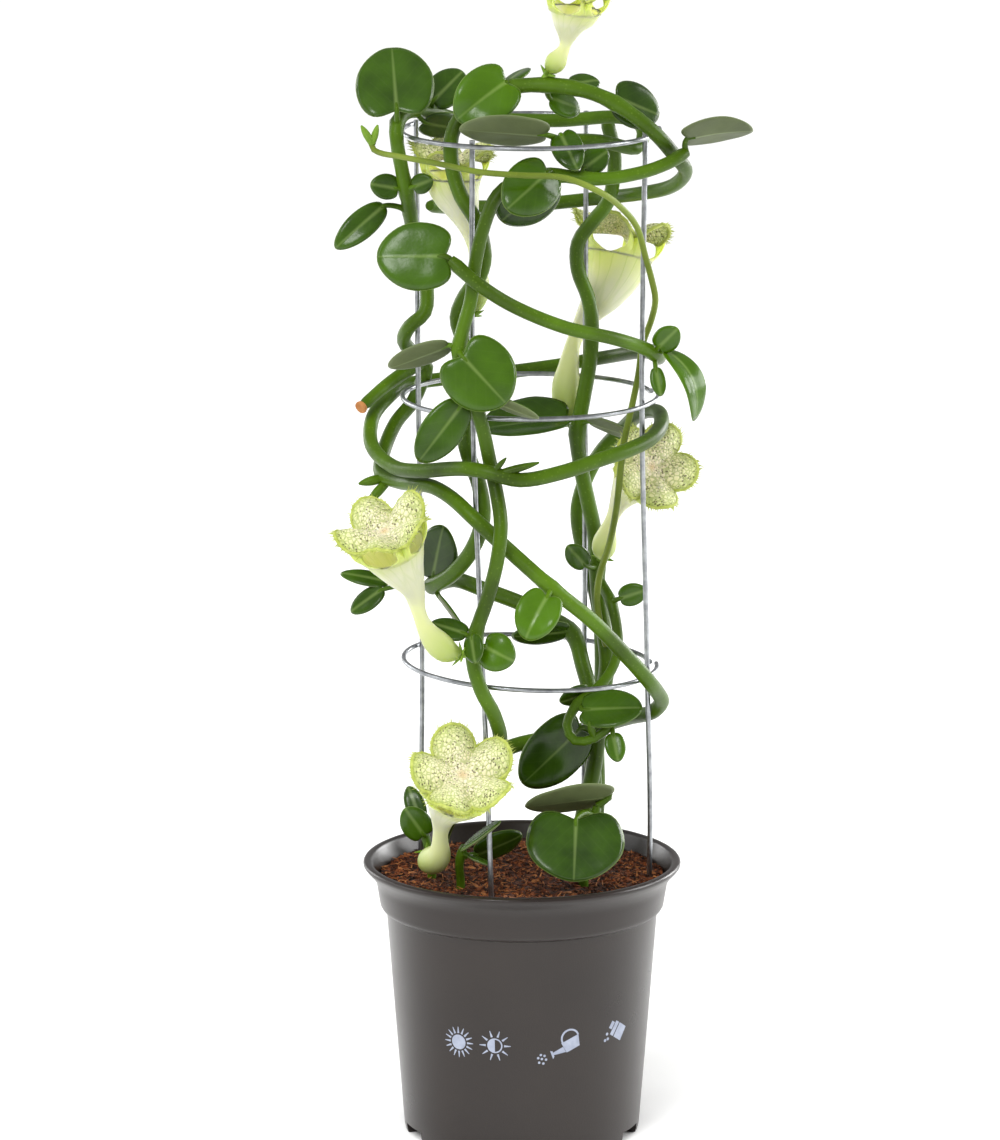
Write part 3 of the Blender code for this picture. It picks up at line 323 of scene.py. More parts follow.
def make_canopy_finish():
    """The canopy: cream tissue, an olive net, dark specks in patches, and a yellow-green edge."""
    material, tree, shader = new_finish(
        "petal_canopy", Roughness=0.5, Subsurface_Weight=0.5, Subsurface_Scale=0.0015,
        Subsurface_Radius=PETAL_LIGHT_REACH)
    edge = add_node(tree, "ShaderNodeAttribute", attribute_name="edge")
    base = add_node(tree, "ShaderNodeValToRGB", {"Fac": edge.outputs["Fac"]}, stops=[
        (0.0, "#d2b68c"), (0.15, "#e6dcc0"), (0.6, "#e0dcb6"), (0.88, "#cdd196"), (1.0, "#adb858")])
    place = add_node(tree, "ShaderNodeUVMap", uv_map="UVMap").outputs["UV"]
    cells = add_node(tree, "ShaderNodeTexVoronoi", {
        "Vector": place, "Scale": UV_SPAN / NET_CELL_MM, "Randomness": 0.9}, feature="DISTANCE_TO_EDGE")
    lines = add_node(tree, "ShaderNodeMapRange", {
        "Value": cells.outputs["Distance"], "From Min": 0.04, "From Max": 0.16,
        "To Min": NET_SHARE, "To Max": 0.0})
    clear = add_node(tree, "ShaderNodeMapRange", {
        "Value": edge.outputs["Fac"], "From Max": 0.3, "To Min": 0.35})
    net = add_node(tree, "ShaderNodeMath", {0: lines.outputs[0], 1: clear.outputs[0]},
                   operation="MULTIPLY")
    netted = add_node(tree, "ShaderNodeMix", {
        "Factor": net.outputs[0], 6: base.outputs["Color"], 7: linear("#8b9c45")}, data_type="RGBA")
    specks = add_node(tree, "ShaderNodeTexVoronoi", {"Vector": place, "Scale": UV_SPAN / SPECK_GAP_MM})
    dot = add_node(tree, "ShaderNodeMapRange", {
        "Value": specks.outputs["Distance"], "From Min": 0.24, "From Max": 0.38,
        "To Min": 1.0, "To Max": 0.0})
    patches = add_node(tree, "ShaderNodeTexNoise", {"Vector": place, "Scale": UV_SPAN / SPECK_PATCH_MM})
    chosen = add_node(tree, "ShaderNodeMapRange", {
        "Value": patches.outputs["Fac"], "From Min": 0.38, "From Max": 0.56, "To Max": SPECK_SHARE})
    dark = add_node(tree, "ShaderNodeMath", {0: dot.outputs[0], 1: chosen.outputs[0]},
                    operation="MULTIPLY")
    colour = add_node(tree, "ShaderNodeMix", {
        "Factor": dark.outputs[0], 6: netted.outputs[2], 7: linear("#463c22")}, data_type="RGBA")
    tree.links.new(colour.outputs[2], shader.inputs["Base Color"])
    bump = add_node(tree, "ShaderNodeBump", {
        "Height": cells.outputs["Distance"], "Strength": 0.9, "Distance": 0.8 * MM})
    tree.links.new(bump.outputs["Normal"], shader.inputs["Normal"])
    return material


def make_plain_finish(name, roughness, scale, stops):
    """A matt finish whose colour follows one soft noise."""
    material, tree, shader = new_finish(name, Roughness=roughness)
    place = add_node(tree, "ShaderNodeTexCoord").outputs["Object"]
    cloud = add_node(tree, "ShaderNodeTexNoise", {"Vector": place, "Scale": scale})
    colour = add_node(tree, "ShaderNodeValToRGB", {"Fac": cloud.outputs["Fac"]}, stops=stops)
    tree.links.new(colour.outputs["Color"], shader.inputs["Base Color"])
    return material


petal_tube = make_tube_finish()
petal_canopy = make_canopy_finish()
petal_fringe = make_plain_finish("petal_fringe", 0.6, 400.0, [(0.3, "#95a23c"), (0.7, "#b9c266")])
print("petal finishes:", petal_tube.name, petal_canopy.name, petal_fringe.name)

# %% [markdown]
# ## Pot, print, soil and wire
# The pot is injection-moulded polypropylene with recycled filler: a warm dark grey with a soft satin
# gloss and a very fine grain. Its care marks are screen-printed in pale ink. The soil is peat with
# coir, dark red-brown with orange fibres. The cage is galvanised steel wire, drawn, bright and a
# little cloudy.

# %% Finishes of the pot, print, soil and wire
# The clouds are about 40 mm across. The real grain is too fine to show, so it is drawn at 0.6 mm.
POT_CLOUDS_PER_METRE, POT_GRAIN_PER_METRE = 25.0, 1600.0
POT_SMOOTHEST, POT_ROUGHEST = 0.26, 0.36


def make_pot_finish():
    """Moulded polypropylene, with a fine grain and faint clouds."""
    material, tree, shader = new_finish("moulded_polypropylene", IOR=1.49)
    place = add_node(tree, "ShaderNodeTexCoord").outputs["Object"]
    cloud = add_node(tree, "ShaderNodeTexNoise", {
        "Vector": place, "Scale": POT_CLOUDS_PER_METRE, "Detail": 6.0})
    colour = add_node(tree, "ShaderNodeValToRGB", {"Fac": cloud.outputs["Fac"]}, stops=[
        (0.3, "#1b1310"), (0.7, "#231b17")])
    tree.links.new(colour.outputs["Color"], shader.inputs["Base Color"])
    rough = add_node(tree, "ShaderNodeMapRange", {
        "Value": cloud.outputs["Fac"], "From Min": 0.3, "From Max": 0.7,
        "To Min": POT_SMOOTHEST, "To Max": POT_ROUGHEST})
    tree.links.new(rough.outputs[0], shader.inputs["Roughness"])
    grain = add_node(tree, "ShaderNodeTexNoise", {"Vector": place, "Scale": POT_GRAIN_PER_METRE})
    bump = add_node(tree, "ShaderNodeBump", {
        "Height": grain.outputs["Fac"], "Strength": 0.12, "Distance": 0.3 * MM})
    tree.links.new(bump.outputs["Normal"], shader.inputs["Normal"])
    return material


def make_clouded_finish(name, stops, scale, roughness, relief_mm, metallic=0.0):
    """A finish whose colour and height follow one fine noise of that scale per metre."""
    material, tree, shader = new_finish(name, Roughness=roughness, Metallic=metallic)
    place = add_node(tree, "ShaderNodeTexCoord").outputs["Object"]
    cloud = add_node(tree, "ShaderNodeTexNoise", {
        "Vector": place, "Scale": scale, "Detail": 6.0, "Roughness": 0.65})
    colour = add_node(tree, "ShaderNodeValToRGB", {"Fac": cloud.outputs["Fac"]}, stops=stops)
    tree.links.new(colour.outputs["Color"], shader.inputs["Base Color"])
    bump = add_node(tree, "ShaderNodeBump", {
        "Height": cloud.outputs["Fac"], "Strength": 0.6, "Distance": relief_mm * MM})
    tree.links.new(bump.outputs["Normal"], shader.inputs["Normal"])
    return material


# Clouds of about 3 mm in the ink, 2.4 mm in the peat, 2 mm in the coir and 4 mm in the wire's zinc.
moulded_pot = make_pot_finish()
screen_ink = make_clouded_finish(
    "pale_screen_ink", [(0.3, "#8a91a4"), (0.7, "#a0a7b8")], 300.0, 0.45, 0.02)
peat_soil = make_clouded_finish(
    "peat_and_coir", [(0.36, "#0c0502"), (0.50, "#3a1a0a"), (0.66, "#844722")], 420.0, 0.95, 0.9)
coir_fibre = make_clouded_finish(
    "coir_fibre", [(0.3, "#5a2f18"), (0.7, "#b67640")], 500.0, 0.85, 0.2)
galvanised_wire = make_clouded_finish(
    "galvanised_wire", [(0.3, "#7e8184"), (0.7, "#b4b7ba")], 240.0, 0.34, 0.05, metallic=1.0)
print("hard finishes:", moulded_pot.name, screen_ink.name, galvanised_wire.name)

# %% [markdown]
# ## Routes of the stems
# These are the same points as in the part's source: each stem starts in its soil hole and
# climbs to its tip, with a radius in front.

# %% Stem routes, in millimetres
STEMS = {
    "stem_a": (3.0, [
        (-31, 33, 80), (-31, 33, 98), (-31, 33, 102), (-27, 31, 120), (-17, 38, 132), (-3, 44, 138),
        (15, 48, 141), (30, 44, 146), (41, 24, 154), (49, 3, 161), (52.3, -6, 167), (50.5, -16, 173),
        (46.6, -28, 180.5), (40.5, -35, 189), (25.5, -46, 207), (10.7, -50, 220), (-4, -46, 232.5),
        (-16.4, -46, 244), (-26, -39, 251.6), (-33, -32, 254.4), (-40, -21, 253.3), (-46, -10, 252),
        (-52.7, 1, 253), (-52, 12, 259), (-47.5, 23.5, 268), (-41, 30.5, 275), (-38, 32, 281.5),
        (-36, 29.5, 288), (-40.6, 25, 294), (-44.3, 19, 300), (-42, 10.5, 307), (-36.3, 10, 312.5),
        (-35.5, 11.5, 320.6), (-37, 10.5, 331), (-40.6, 4, 344.4), (-42.3, -5, 357), (-44.3, -12, 369),
        (-46, -17, 380), (-46, -15, 387), (-41.4, -8, 390.4), (-33.4, 3, 388.5), (-22.4, 15, 384),
        (-4.6, 22, 383), (14, 20, 383), (33, 11, 385.6), (41.7, 5, 385), (44.6, -2, 381.4),
        (41.7, -10, 377), (28.3, -20, 381), (14.3, -27, 382.4)]),
    "stem_b": (3.0, [
        (28, 33, 80), (28, 33, 98), (28, 33, 102), (29, 32, 123.5), (28.7, 31, 143.4), (30.2, 31, 159),
        (30.5, 31, 178.5), (29.6, 38, 192), (26, 44, 207), (22.2, 45, 220.4), (21.4, 44.5, 231.4),
        (24.4, 46, 242), (30, 43, 253), (38, 37, 263), (45, 23, 272), (51, 7, 275), (51.4, -8, 273),
        (47.5, -21, 270.5), (40, -31, 268.5), (29, -40, 266.4), (13.6, -49, 263), (-1, -54, 261.3),
        (-12.7, -53, 264), (-19.3, -50, 264.6), (-26.6, -43, 263.3), (-38.5, -31, 260.2), (-48, -16, 259),
        (-56, -1, 263.8), (-56, 12, 272), (-50, 27, 277.5), (-44, 40, 279.5), (-36.7, 45, 280),
        (-21.6, 49, 281), (-2.6, 52, 282.6), (14.5, 52, 285), (31.5, 46, 289), (45, 24, 295),
        (50.4, 6, 297), (50.6, -8, 298.3), (49, -18, 301.6), (43, -27, 306), (32.6, -36, 310.7),
        (15.4, -44, 316), (-3, -49, 324.4), (-16.3, -53, 333.5), (-26.4, -51, 342)]),
    "stem_c": (3.2, [
        (26, 24, 80), (26, 24, 98), (26, 24, 102), (27.5, 24, 125.5), (26.7, 24, 143), (29.7, 23, 159),
        (32.3, 23.5, 174.4), (30.8, 25, 189.5), (28.9, 30, 202), (28.5, 34, 213), (27.4, 34.5, 224.5),
        (25, 34, 236), (22.3, 33.5, 249), (20.8, 31, 262), (23, 31, 275), (25.6, 33, 290),
        (26.3, 34, 303.5), (24.8, 34, 314), (21, 33.5, 324.5), (21, 33, 335), (26.2, 31, 343),
        (32, 28.5, 351), (34.3, 27, 361.5), (34.2, 26, 371), (31.2, 24, 383.4)]),
    "stem_d": (2.9, [
        (-31, 20, 80), (-31, 20, 98), (-31, 20, 102), (-30.3, 12, 110.5), (-24, -5, 127),
        (-13.5, -25, 144.6), (-8.3, -38, 159.3), (-10.5, -47, 171.7), (-15.3, -50.5, 182), (-18.2, -50, 193),
        (-17, -49.5, 203.6), (-13, -50.5, 216), (-9.4, -54.5, 231), (-8, -53, 244.4), (-9.4, -48, 254.6),
        (-12, -45.5, 266.4), (-14.5, -47.5, 278.7), (-17.4, -48.5, 288.5), (-21, -48, 299),
        (-23.2, -48, 308.4), (-21.4, -47.5, 317.5), (-18.9, -46, 326.5), (-17.4, -46, 339), (-14, -46, 354),
        (-9, -45, 365), (-1, -42, 370), (10, -38, 371), (28, -38, 369.7), (42.6, -34, 371.3),
        (53, -31, 374.5), (59.6, -26, 377.8)]),
    "stem_e": (3.1, [
        (20, 14, 80), (20, 14, 98), (20, 14, 102), (23.6, 13, 120), (27, 12, 136), (28.4, 11, 150),
        (26.5, 12, 163.5), (23, 18, 175.7), (19.3, 22, 187), (10.6, 19, 194), (-1, 13, 201), (-14, 8, 207),
        (-25, 3, 212), (-33.3, -12, 213), (-26, -26, 220.3), (-18.6, -33, 231), (-14.6, -36, 243.5),
        (-16, -34.5, 255.6), (-20, -35, 267), (-21.5, -35.8, 276.5), (-19.3, -34, 286.5),
        (-18.2, -33, 294.6), (-19, -32, 303), (-22, -32, 310), (-24, -33, 318), (-21, -34, 326),
        (-16, -35, 333), (-14, -35, 341), (-16.7, -34, 353), (-22.5, -32, 362.5), (-25.8, -29, 373.5),
        (-25.8, -28, 384.4), (-20.7, -27, 393), (-6.5, -27, 401), (6, -27, 402.6), (21, -28, 401),
        (33.6, -28, 396), (47, -27, 386), (55.8, -19, 375.3), (60, -8, 368), (55.4, 6, 360.5),
        (44, 24, 355), (29.4, 44.5, 350.2), (14.3, 48, 348), (-2.7, 44, 347), (-19.6, 34, 348.4),
        (-29, 26, 349.6), (-34.5, 17, 351.5)]),
    "twig": (1.3, [
        (31.8, 20.3, 183), (29.8, 16.5, 191), (28.3, 16, 201.4), (29.3, 12, 212), (32.6, 1, 226),
        (35, -10, 241.8), (36.4, -14, 257.4), (37.8, -13.5, 268.6), (40.7, -11, 281.3), (43, -8, 292.2),
        (44.5, -6, 303), (47.5, -8, 312), (49, -14, 321), (47.6, -18, 329), (45.3, -18.5, 337.4),
        (42, -24, 349.5), (36, -34, 358.4), (28, -46, 366), (15, -51, 372), (-1, -58, 374),
        (-15.5, -57, 375), (-30, -46, 376.3), (-44.7, -32, 377), (-54.4, -22, 378), (-56, -20, 383)]),
    "shoot_left": (1.8, [(-34, -8, 80), (-34, -8, 98), (-34, -8, 102), (-35, -9, 110), (-37, -8, 118)]),
    "shoot_middle": (1.8, [
        (-23, -24, 80), (-23, -24, 98), (-23, -24, 102), (-23.5, -27, 110), (-22, -30, 117)]),
    "shoot_right": (2.0, [(23, -20, 80), (23, -20, 98), (23, -20, 102), (25, -20, 115), (28, -19, 130)]),
}
BRANCHES = {
    "stem_a": [(2.7, [(-38, 28, 290.5), (-49.5, 17.5, 284.5), (-60, 6, 277.3)])],
    "stem_c": [(2.1, [
        (29.5, 28, 206), (34, 19, 199), (36.3, 15, 186), (34.7, 9, 178), (28.6, 2, 170.5), (21, -4, 166),
        (16.8, -8, 158.6), (19.8, -10, 153), (27, -10, 154), (33.7, -9, 159)])],
}
print("stems:", len(STEMS), "points:", sum(len(points) for _, points in STEMS.values()))

# %% [markdown]
# ## Leaves, buds and flowers on their stems
# A leaf is its joint on the stem, the blade's foot and tip, its width, the way its upper side looks,
# a fold along the midrib in degrees, a bend, and the size of its lobes. The last number is the light
# painted into its green, from 0 for painted shade to 1 for painted full light. A bud is its foot, its
# tip and its radius. A flower is its joint on the stem, the points of its tube, the way it faces and
# the radius of its canopy.

# %% Leaves, buds and flowers, in millimetres
FRONT = (0, -1, 0.15)
UNDERSIDE = (0, 0.72, 0.7)
LEAVES = {
    "stem_a": [
        ((-46, -16, 387), (-46, -19, 392), (-48, -5, 413.5), 30, FRONT, 8, 0.0, 0.5, 0.3),
        ((-33, 3, 388.5), (-33, -1, 393), (-22, 8, 403), 14, (-0.5, -0.8, -0.3), 8, 0.0, 0.4, 0.15),
        ((-39, -6, 390), (-36, -5, 386), (-22, 6, 382), 13, (0, -0.9, -0.4), 8, 0.0, 0.4, 0.15),
        ((-43, -8, 361), (-46, -10, 362), (-56, -12, 364), 10, FRONT, 10, 0.0, 0.3, 0.3),
        ((-43, -8, 362), (-40, -12, 363), (-33, -14, 366), 8, FRONT, 10, 0.0, 0.3, 0.3),
        ((-42, -3, 352), (-51, -6, 355), (-69, -12, 340), 11, (0.3, -0.8, 0.5), 14, 0.05, 0.1, 0.35),
        ((10.7, -50, 220), (9, -55, 218), (1, -60, 203), 17, (-0.2, -0.95, 0.2), 16, 0.1, 0.5, 0.8),
        ((14, -27, 382), (8, -35, 385.5), (-23, -43, 389), 19, UNDERSIDE, 10, 0.0, 0.3, 0.25),
        ((14, -27, 382), (14, -33, 385), (20, -43, 373.5), 12, FRONT, 10, 0.1, 0.4, 0.3)],
    "stem_b": [
        ((-26.4, -51, 342), (-28, -52, 343.5), (-53, -50, 343), 26, (0, -0.97, 0.25), 5, 0.0, 0.5, 0.45),
        ((49, -18, 301.6), (53, -22, 303), (63, -27, 278), 14, (0.75, -0.6, 0.3), 14, 0.22, 0.2, 0.7),
        ((49, -18, 301.6), (50, -23, 305), (57, -28, 313), 10, FRONT, 12, 0.0, 0.3, 0.5),
        ((49, -18, 301), (49, -22, 297), (51, -25, 287), 6, FRONT, 12, 0.0, 0.2, 0.5)],
    "stem_c": [
        ((20.8, 31, 263), (17, 27, 269), (-16, 24, 265), 24, (0, -0.45, 0.9), 24, 0.0, 0.3, 0.3),
        ((21, 31, 265), (25, 27, 268), (43, 12, 265), 12, UNDERSIDE, 8, 0.0, 0.3, 0.2),
        ((34, 19, 200), (37, 16, 202), (47, 13, 206), 9, FRONT, 10, 0.0, 0.2, 0.5),
        ((28.5, 33, 211), (24, 24, 213), (17, 18, 222), 9, FRONT, 12, 0.0, 0.3, 0.4),
        ((21, -4, 166), (23, -7, 164), (45, -12, 166), 17, (0.1, -0.75, 0.65), 12, 0.0, 0.4, 0.45),
        ((33.7, -9, 159), (34, -11, 156), (36, -15, 146), 8, FRONT, 14, 0.0, 0.2, 0.6),
        ((28.6, 2, 170.5), (25, 0, 170), (14, -1, 166), 12, (0, -0.7, -0.6), 8, 0.0, 0.3, 0.2)],
    "stem_d": [
        ((10, -38, 371), (9, -44, 373), (-6, -55, 361), 21, FRONT, -8, 0.1, 0.5, 0.4),
        ((10, -38, 371), (8, -34, 368), (-8, -30, 353), 22, (0, -0.95, -0.3), 6, 0.0, 0.5, 0.15),
        ((59.6, -26, 377.8), (60, -27, 383), (84, -27, 386), 20, (0, 0.6, 0.8), 12, 0.05, 0.5, 0.1),
        ((22, -38, 370), (22, -35, 373), (31, -31, 379), 10, FRONT, 8, 0.0, 0.3, 0.3),
        ((-23, -48, 308), (-22, -53, 307), (-6, -56, 290), 28, FRONT, 4, 0.0, 0.6, 0.5),
        ((-23, -48, 308), (-27, -47, 310), (-49, -43, 301), 15, (-0.2, 0.7, 0.7), 8, 0.0, 0.2, 0.3),
        ((-17.4, -48.5, 288.5), (-22, -51, 289), (-38, -53, 268), 16, (-0.2, -0.9, -0.3), 8, 0.0, 0.2, 0.35),
        ((-17.4, -48.5, 288.5), (-12, -51, 291), (6, -53, 284), 9, (0, 0.6, 0.8), 8, 0.0, 0.2, 0.3),
        ((-18, -50, 198), (-14, -53, 199), (-3, -56, 194), 15, FRONT, 8, 0.1, 0.4, 0.6),
        ((-18, -50, 200), (-21, -51, 203), (-34, -46, 206), 10, (0, -0.7, 0.7), 10, 0.0, 0.3, 0.3),
        ((-17.5, -49.8, 200.5), (-18.5, -55, 203.5), (-17, -59.5, 194), 9, (-0.5, -0.8, 0.2), 10,
         0.0, 0.2, 0.3)],
    "stem_e": [
        ((-6, -27, 401), (-6, -30, 404), (-24, -36, 391), 22, (0.1, -0.9, 0.35), 15, 0.1, 0.5, 0.7),
        ((-6, -27, 401), (-5, -24, 403), (2, -14, 407), 9, (0, 0.3, 0.95), 8, 0.0, 0.3, 0.3),
        ((33.6, -28, 396), (34, -21, 397), (50, -14, 389.5), 18, (0.2, -0.9, 0.4), 6, 0.0, 0.4, 0.15),
        ((17, -28, 401), (18, -24, 402), (28, -20, 403), 11, (0, -0.6, 0.8), 8, 0.0, 0.3, 0.3),
        ((9, -27, 402), (10, -23, 397), (21, -17, 392), 12, (0, -0.8, 0.6), 8, 0.0, 0.3, 0.7),
        ((-33, -12, 213), (-33, -16, 217), (-29, -23, 238), 18, (-0.5, -0.85, 0), 6, 0.0, 0.4, 0.1),
        ((-33, -12, 213), (-50, -7, 213), (-68, -5, 216), 8, (0, -0.6, 0.8), 12, 0.0, 0.2, 0.2),
        ((-33, -12, 213), (-52, -10, 211), (-64, -9, 202), 9, (-0.3, -0.8, 0.5), 12, 0.0, 0.2, 0.2),
        ((-33, -12, 213), (-31, -17, 210), (-20, -27, 197), 11, (0.6, 0.3, 0.7), 10, 0.0, 0.2, 0.3),
        ((19.3, 22, 187), (17, 19, 189), (-4, 14, 188), 14, (0, -0.8, -0.6), 8, 0.0, 0.3, 0.2),
        ((28, 11, 150), (22, 7, 154), (0, 0, 134), 25, (0, -0.9, -0.3), 6, 0.0, 0.4, 0.15)],
    "shoot_left": [
        ((-36.5, -8, 116), (-37, -11, 117), (-44, -14, 128), 12, FRONT, 12, 0.0, 0.4, 0.4),
        ((-37, -8, 117), (-38, -5, 121), (-43, 0, 133), 8, FRONT, 12, 0.0, 0.2, 0.2)],
    "shoot_middle": [
        ((-22, -30, 117), (-22, -36, 118), (-8, -51, 132), 9, (-0.3, -0.3, 0.9), 16, 0.0, 0.2, 0.45),
        ((-22.4, -29.1, 115), (-20, -31, 114), (-11, -35, 111), 7, (0, 0.2, 0.95), 8, 0.0, 0.2, 0.5),
        ((-22.9, -28.3, 113), (-17, -24, 113), (0, -22, 120), 15, (0, -0.8, -0.6), 6, 0.0, 0.3, 0.2)],
    "shoot_right": [
        ((27, -19.5, 126), (20, -35, 129), (19, -50, 109), 38, (0, -0.85, 0.5), 8, 0.0, 0.6, 0.15),
        ((28, -19, 130), (33, -18, 134), (1, -26, 132), 20, UNDERSIDE, 10, 0.0, 0.3, 0.3)],
}
BUDS = {
    "stem_a": [((-51, -2, 252), (-61, -4, 250), 1.7), ((-50, -3, 251), (-58, -7, 243), 1.7)],
    "stem_b": [((-11, -54, 263), (6, -55, 268), 1.4), ((-11, -54, 264), (-6, -56, 270), 1.0)],
    "stem_c": [((27, -10, 154), (25, -13, 161), 1.3)],
    "twig": [((-55, -21, 380), (-59, -22, 387), 1.3), ((-55, -21, 380), (-53, -20, 387), 1.2)],
}
FLOWERS = {
    "flower_left": (
        (-18, -50, 195),
        [(-23, -54, 196), (-29, -57, 199), (-35, -58, 206), (-38, -58, 213), (-40, -57, 221),
         (-44, -57, 229), (-48, -57, 237)], (-0.3, -0.4, 0.87), 18.0),
    "flower_front": (
        (-35, -9, 110),
        [(-35.5, -15, 111), (-34.5, -21, 109.5), (-31, -29, 114), (-30.5, -34, 123), (-29, -39, 132),
         (-26, -44.5, 139.5), (-22.5, -49.5, 145)], (0.05, -0.68, 0.72), 19.5),
    "flower_right": (
        (28.5, 34, 213),
        [(31, 26, 216), (31, 20.5, 221.5), (33, 17, 230), (37, 14, 240), (41.5, 11.4, 247),
         (45.8, 8.6, 252.5)], (0.35, -0.8, 0.35), 17.0),
    "flower_back": (
        (20.8, 31, 262),
        [(18, 37, 265), (16.5, 37.5, 277), (17.5, 38.5, 286), (19.5, 43, 295), (24, 47.5, 303.5),
         (30, 49.5, 312), (34, 51.5, 320), (36, 53, 327)], (0.2, 0.25, 0.95), 19.5),
    "flower_inside": (
        (-24, -33, 318),
        [(-18, -25, 318), (-16.5, -20, 325), (-17, -15, 335), (-19, -12, 345), (-22, -9, 354),
         (-25, -6, 361), (-26, -4, 366)], (0.05, -0.05, 1.0), 15.5),
    "flower_top": (
        (6, -27, 402.6),
        [(9, -27, 407), (12, -27, 411), (15, -27, 416), (16, -27, 420), (17, -27, 425), (19, -27, 430)],
        (0.1, -0.1, 1.0), 14.0),
}
print("leaves:", sum(len(found) for found in LEAVES.values()), "flowers:", len(FLOWERS))

# %% [markdown]
# ## One smooth curve through listed points
# A stem doesn't kink at the points that were read off the photo. A cubic between each two points,
# whose ends follow the neighbours, gives the bend of a living stem and still passes every point.

# %% A smooth route
def cubic(t, start, leaving, end, arriving):
    """A point between start and end, at a share of the way, with the slopes at both."""
    return (start * (2 * t**3 - 3 * t**2 + 1) + leaving * (t**3 - 2 * t**2 + t)
            + end * (3 * t**2 - 2 * t**3) + arriving * (t**3 - t**2))


def route_through(points, step):
    """Even points on a smooth curve through a route's own points."""
    route = [Vector(point) for point in points]
    lengths = [(b - a).length for a, b in zip(route, route[1:])]
    tangents = [(route[1] - route[0]) / lengths[0]]
    for i in range(1, len(route) - 1):
        tangents.append((route[i + 1] - route[i - 1]) / (lengths[i - 1] + lengths[i]))
    tangents.append((route[-1] - route[-2]) / lengths[-1])
    curve = []
    for i, length in enumerate(lengths):
        parts = max(1, round(length / step))
        curve += [cubic(k / parts, route[i], tangents[i] * length, route[i + 1], tangents[i + 1] * length)
                  for k in range(parts)]
    return curve + [route[-1]]


trial = route_through(STEMS["stem_c"][1], 3.0)
print("stem_c:", len(trial), "points on its smooth route")

# %% [markdown]
# ## A Geometry Nodes tree that sweeps a round section
# Everything slim on this object is round and follows a path: stems, leaf stalks, wires, stakes. One
# tree sweeps a circle along every route it is given. Each point of a route holds its own radius, so
# the same tree draws a tapering stem with swollen joints or an even wire. What a tree makes is baked
# to a plain mesh, so each piece can be joined, measured and exported.

# %% The sweeping tree
def link(name, data):
    """A new object in the scene, at the origin."""
    made = bpy.data.objects.new(name, data)
    bpy.context.scene.collection.objects.link(made)
    return made


def bake(obj):
    """The object's evaluated shape as a plain mesh object of the same name, at the origin."""
    name = obj.name
    graph = bpy.context.evaluated_depsgraph_get()
    mesh = bpy.data.meshes.new_from_object(obj.evaluated_get(graph))
    bpy.data.objects.remove(obj)
    return link(name, mesh)


def new_tree(name, sockets):
    """A tree with named inputs: the tree, what it is given, and the identifiers of its inputs."""
    tree = bpy.data.node_groups.new(name, "GeometryNodeTree")
    made = [tree.interface.new_socket(label, in_out="INPUT", socket_type=f"NodeSocket{kind}")
            for label, kind in sockets]
    tree.interface.new_socket("Geometry", in_out="OUTPUT", socket_type="NodeSocketGeometry")
    return tree, add_node(tree, "NodeGroupInput").outputs, [socket.identifier for socket in made]


def end_tree(tree, geometry, finish):
    """Makes copies real, gives them their finish and puts them out."""
    real = add_node(tree, "GeometryNodeRealizeInstances", {"Geometry": geometry})
    done = add_node(tree, "GeometryNodeSetMaterial", {"Geometry": real.outputs[0], "Material": finish})
    add_node(tree, "NodeGroupOutput", {"Geometry": done.outputs[0]})


def run_tree(obj, tree, identifiers, values):
    """The plain mesh that a tree makes of an object. The first input is the object's own geometry."""
    nodes = obj.modifiers.new(tree.name, "NODES")
    nodes.node_group = tree
    for key, value in zip(identifiers[1:], values):
        nodes[key] = value
    return bake(obj)


def make_sweep_tree():
    """Circle of that many sides, swept along each spline by the spline's own radii."""
    tree, given, identifiers = new_tree("sweep_round_section", [
        ("Routes", "Geometry"), ("Sides", "Int"), ("Unit radius", "Float"), ("Finish", "Material")])
    section = add_node(tree, "GeometryNodeCurvePrimitiveCircle", {
        "Resolution": given["Sides"], "Radius": given["Unit radius"]})
    own_radius = add_node(tree, "GeometryNodeInputRadius")
    swept = add_node(tree, "GeometryNodeCurveToMesh", {
        "Curve": given["Routes"], "Profile Curve": section.outputs["Curve"],
        "Scale": own_radius.outputs["Radius"], "Fill Caps": True})
    smooth = add_node(tree, "GeometryNodeSetShadeSmooth", {"Geometry": swept.outputs["Mesh"]})
    end_tree(tree, smooth.outputs["Geometry"], given["Finish"])
    return tree, identifiers


sweep_tree, SWEEP_INPUTS = make_sweep_tree()


def poly_curve(name, routes, closed=False):
    """An object of straight splines. routes is a list of (points, radii), in millimetres."""
    data = bpy.data.curves.new(name, "CURVE")
    data.dimensions = "3D"
    for points, radii in routes:
        spline = data.splines.new("POLY")
        spline.points.add(len(points) - 1)
        spline.use_cyclic_u = closed
        for place, point, radius in zip(spline.points, points, radii):
            place.co = (*(Vector(point) * MM), 1.0)
            place.radius = radius
    return link(name, data)


def sweep(name, routes, sides, finish):
    """One mesh of round tubes along routes."""
    return run_tree(poly_curve(name, routes), sweep_tree, SWEEP_INPUTS, (sides, MM, finish))


print("sweeping tree:", len(sweep_tree.nodes), "nodes")

# %% [markdown]
# ## Sheets with a UV map
# Blades and petals are drawn in rings and rows of corners. Each corner has a place on the UV map and
# carries a value or two, such as how near the edge it is, which the finishes read.

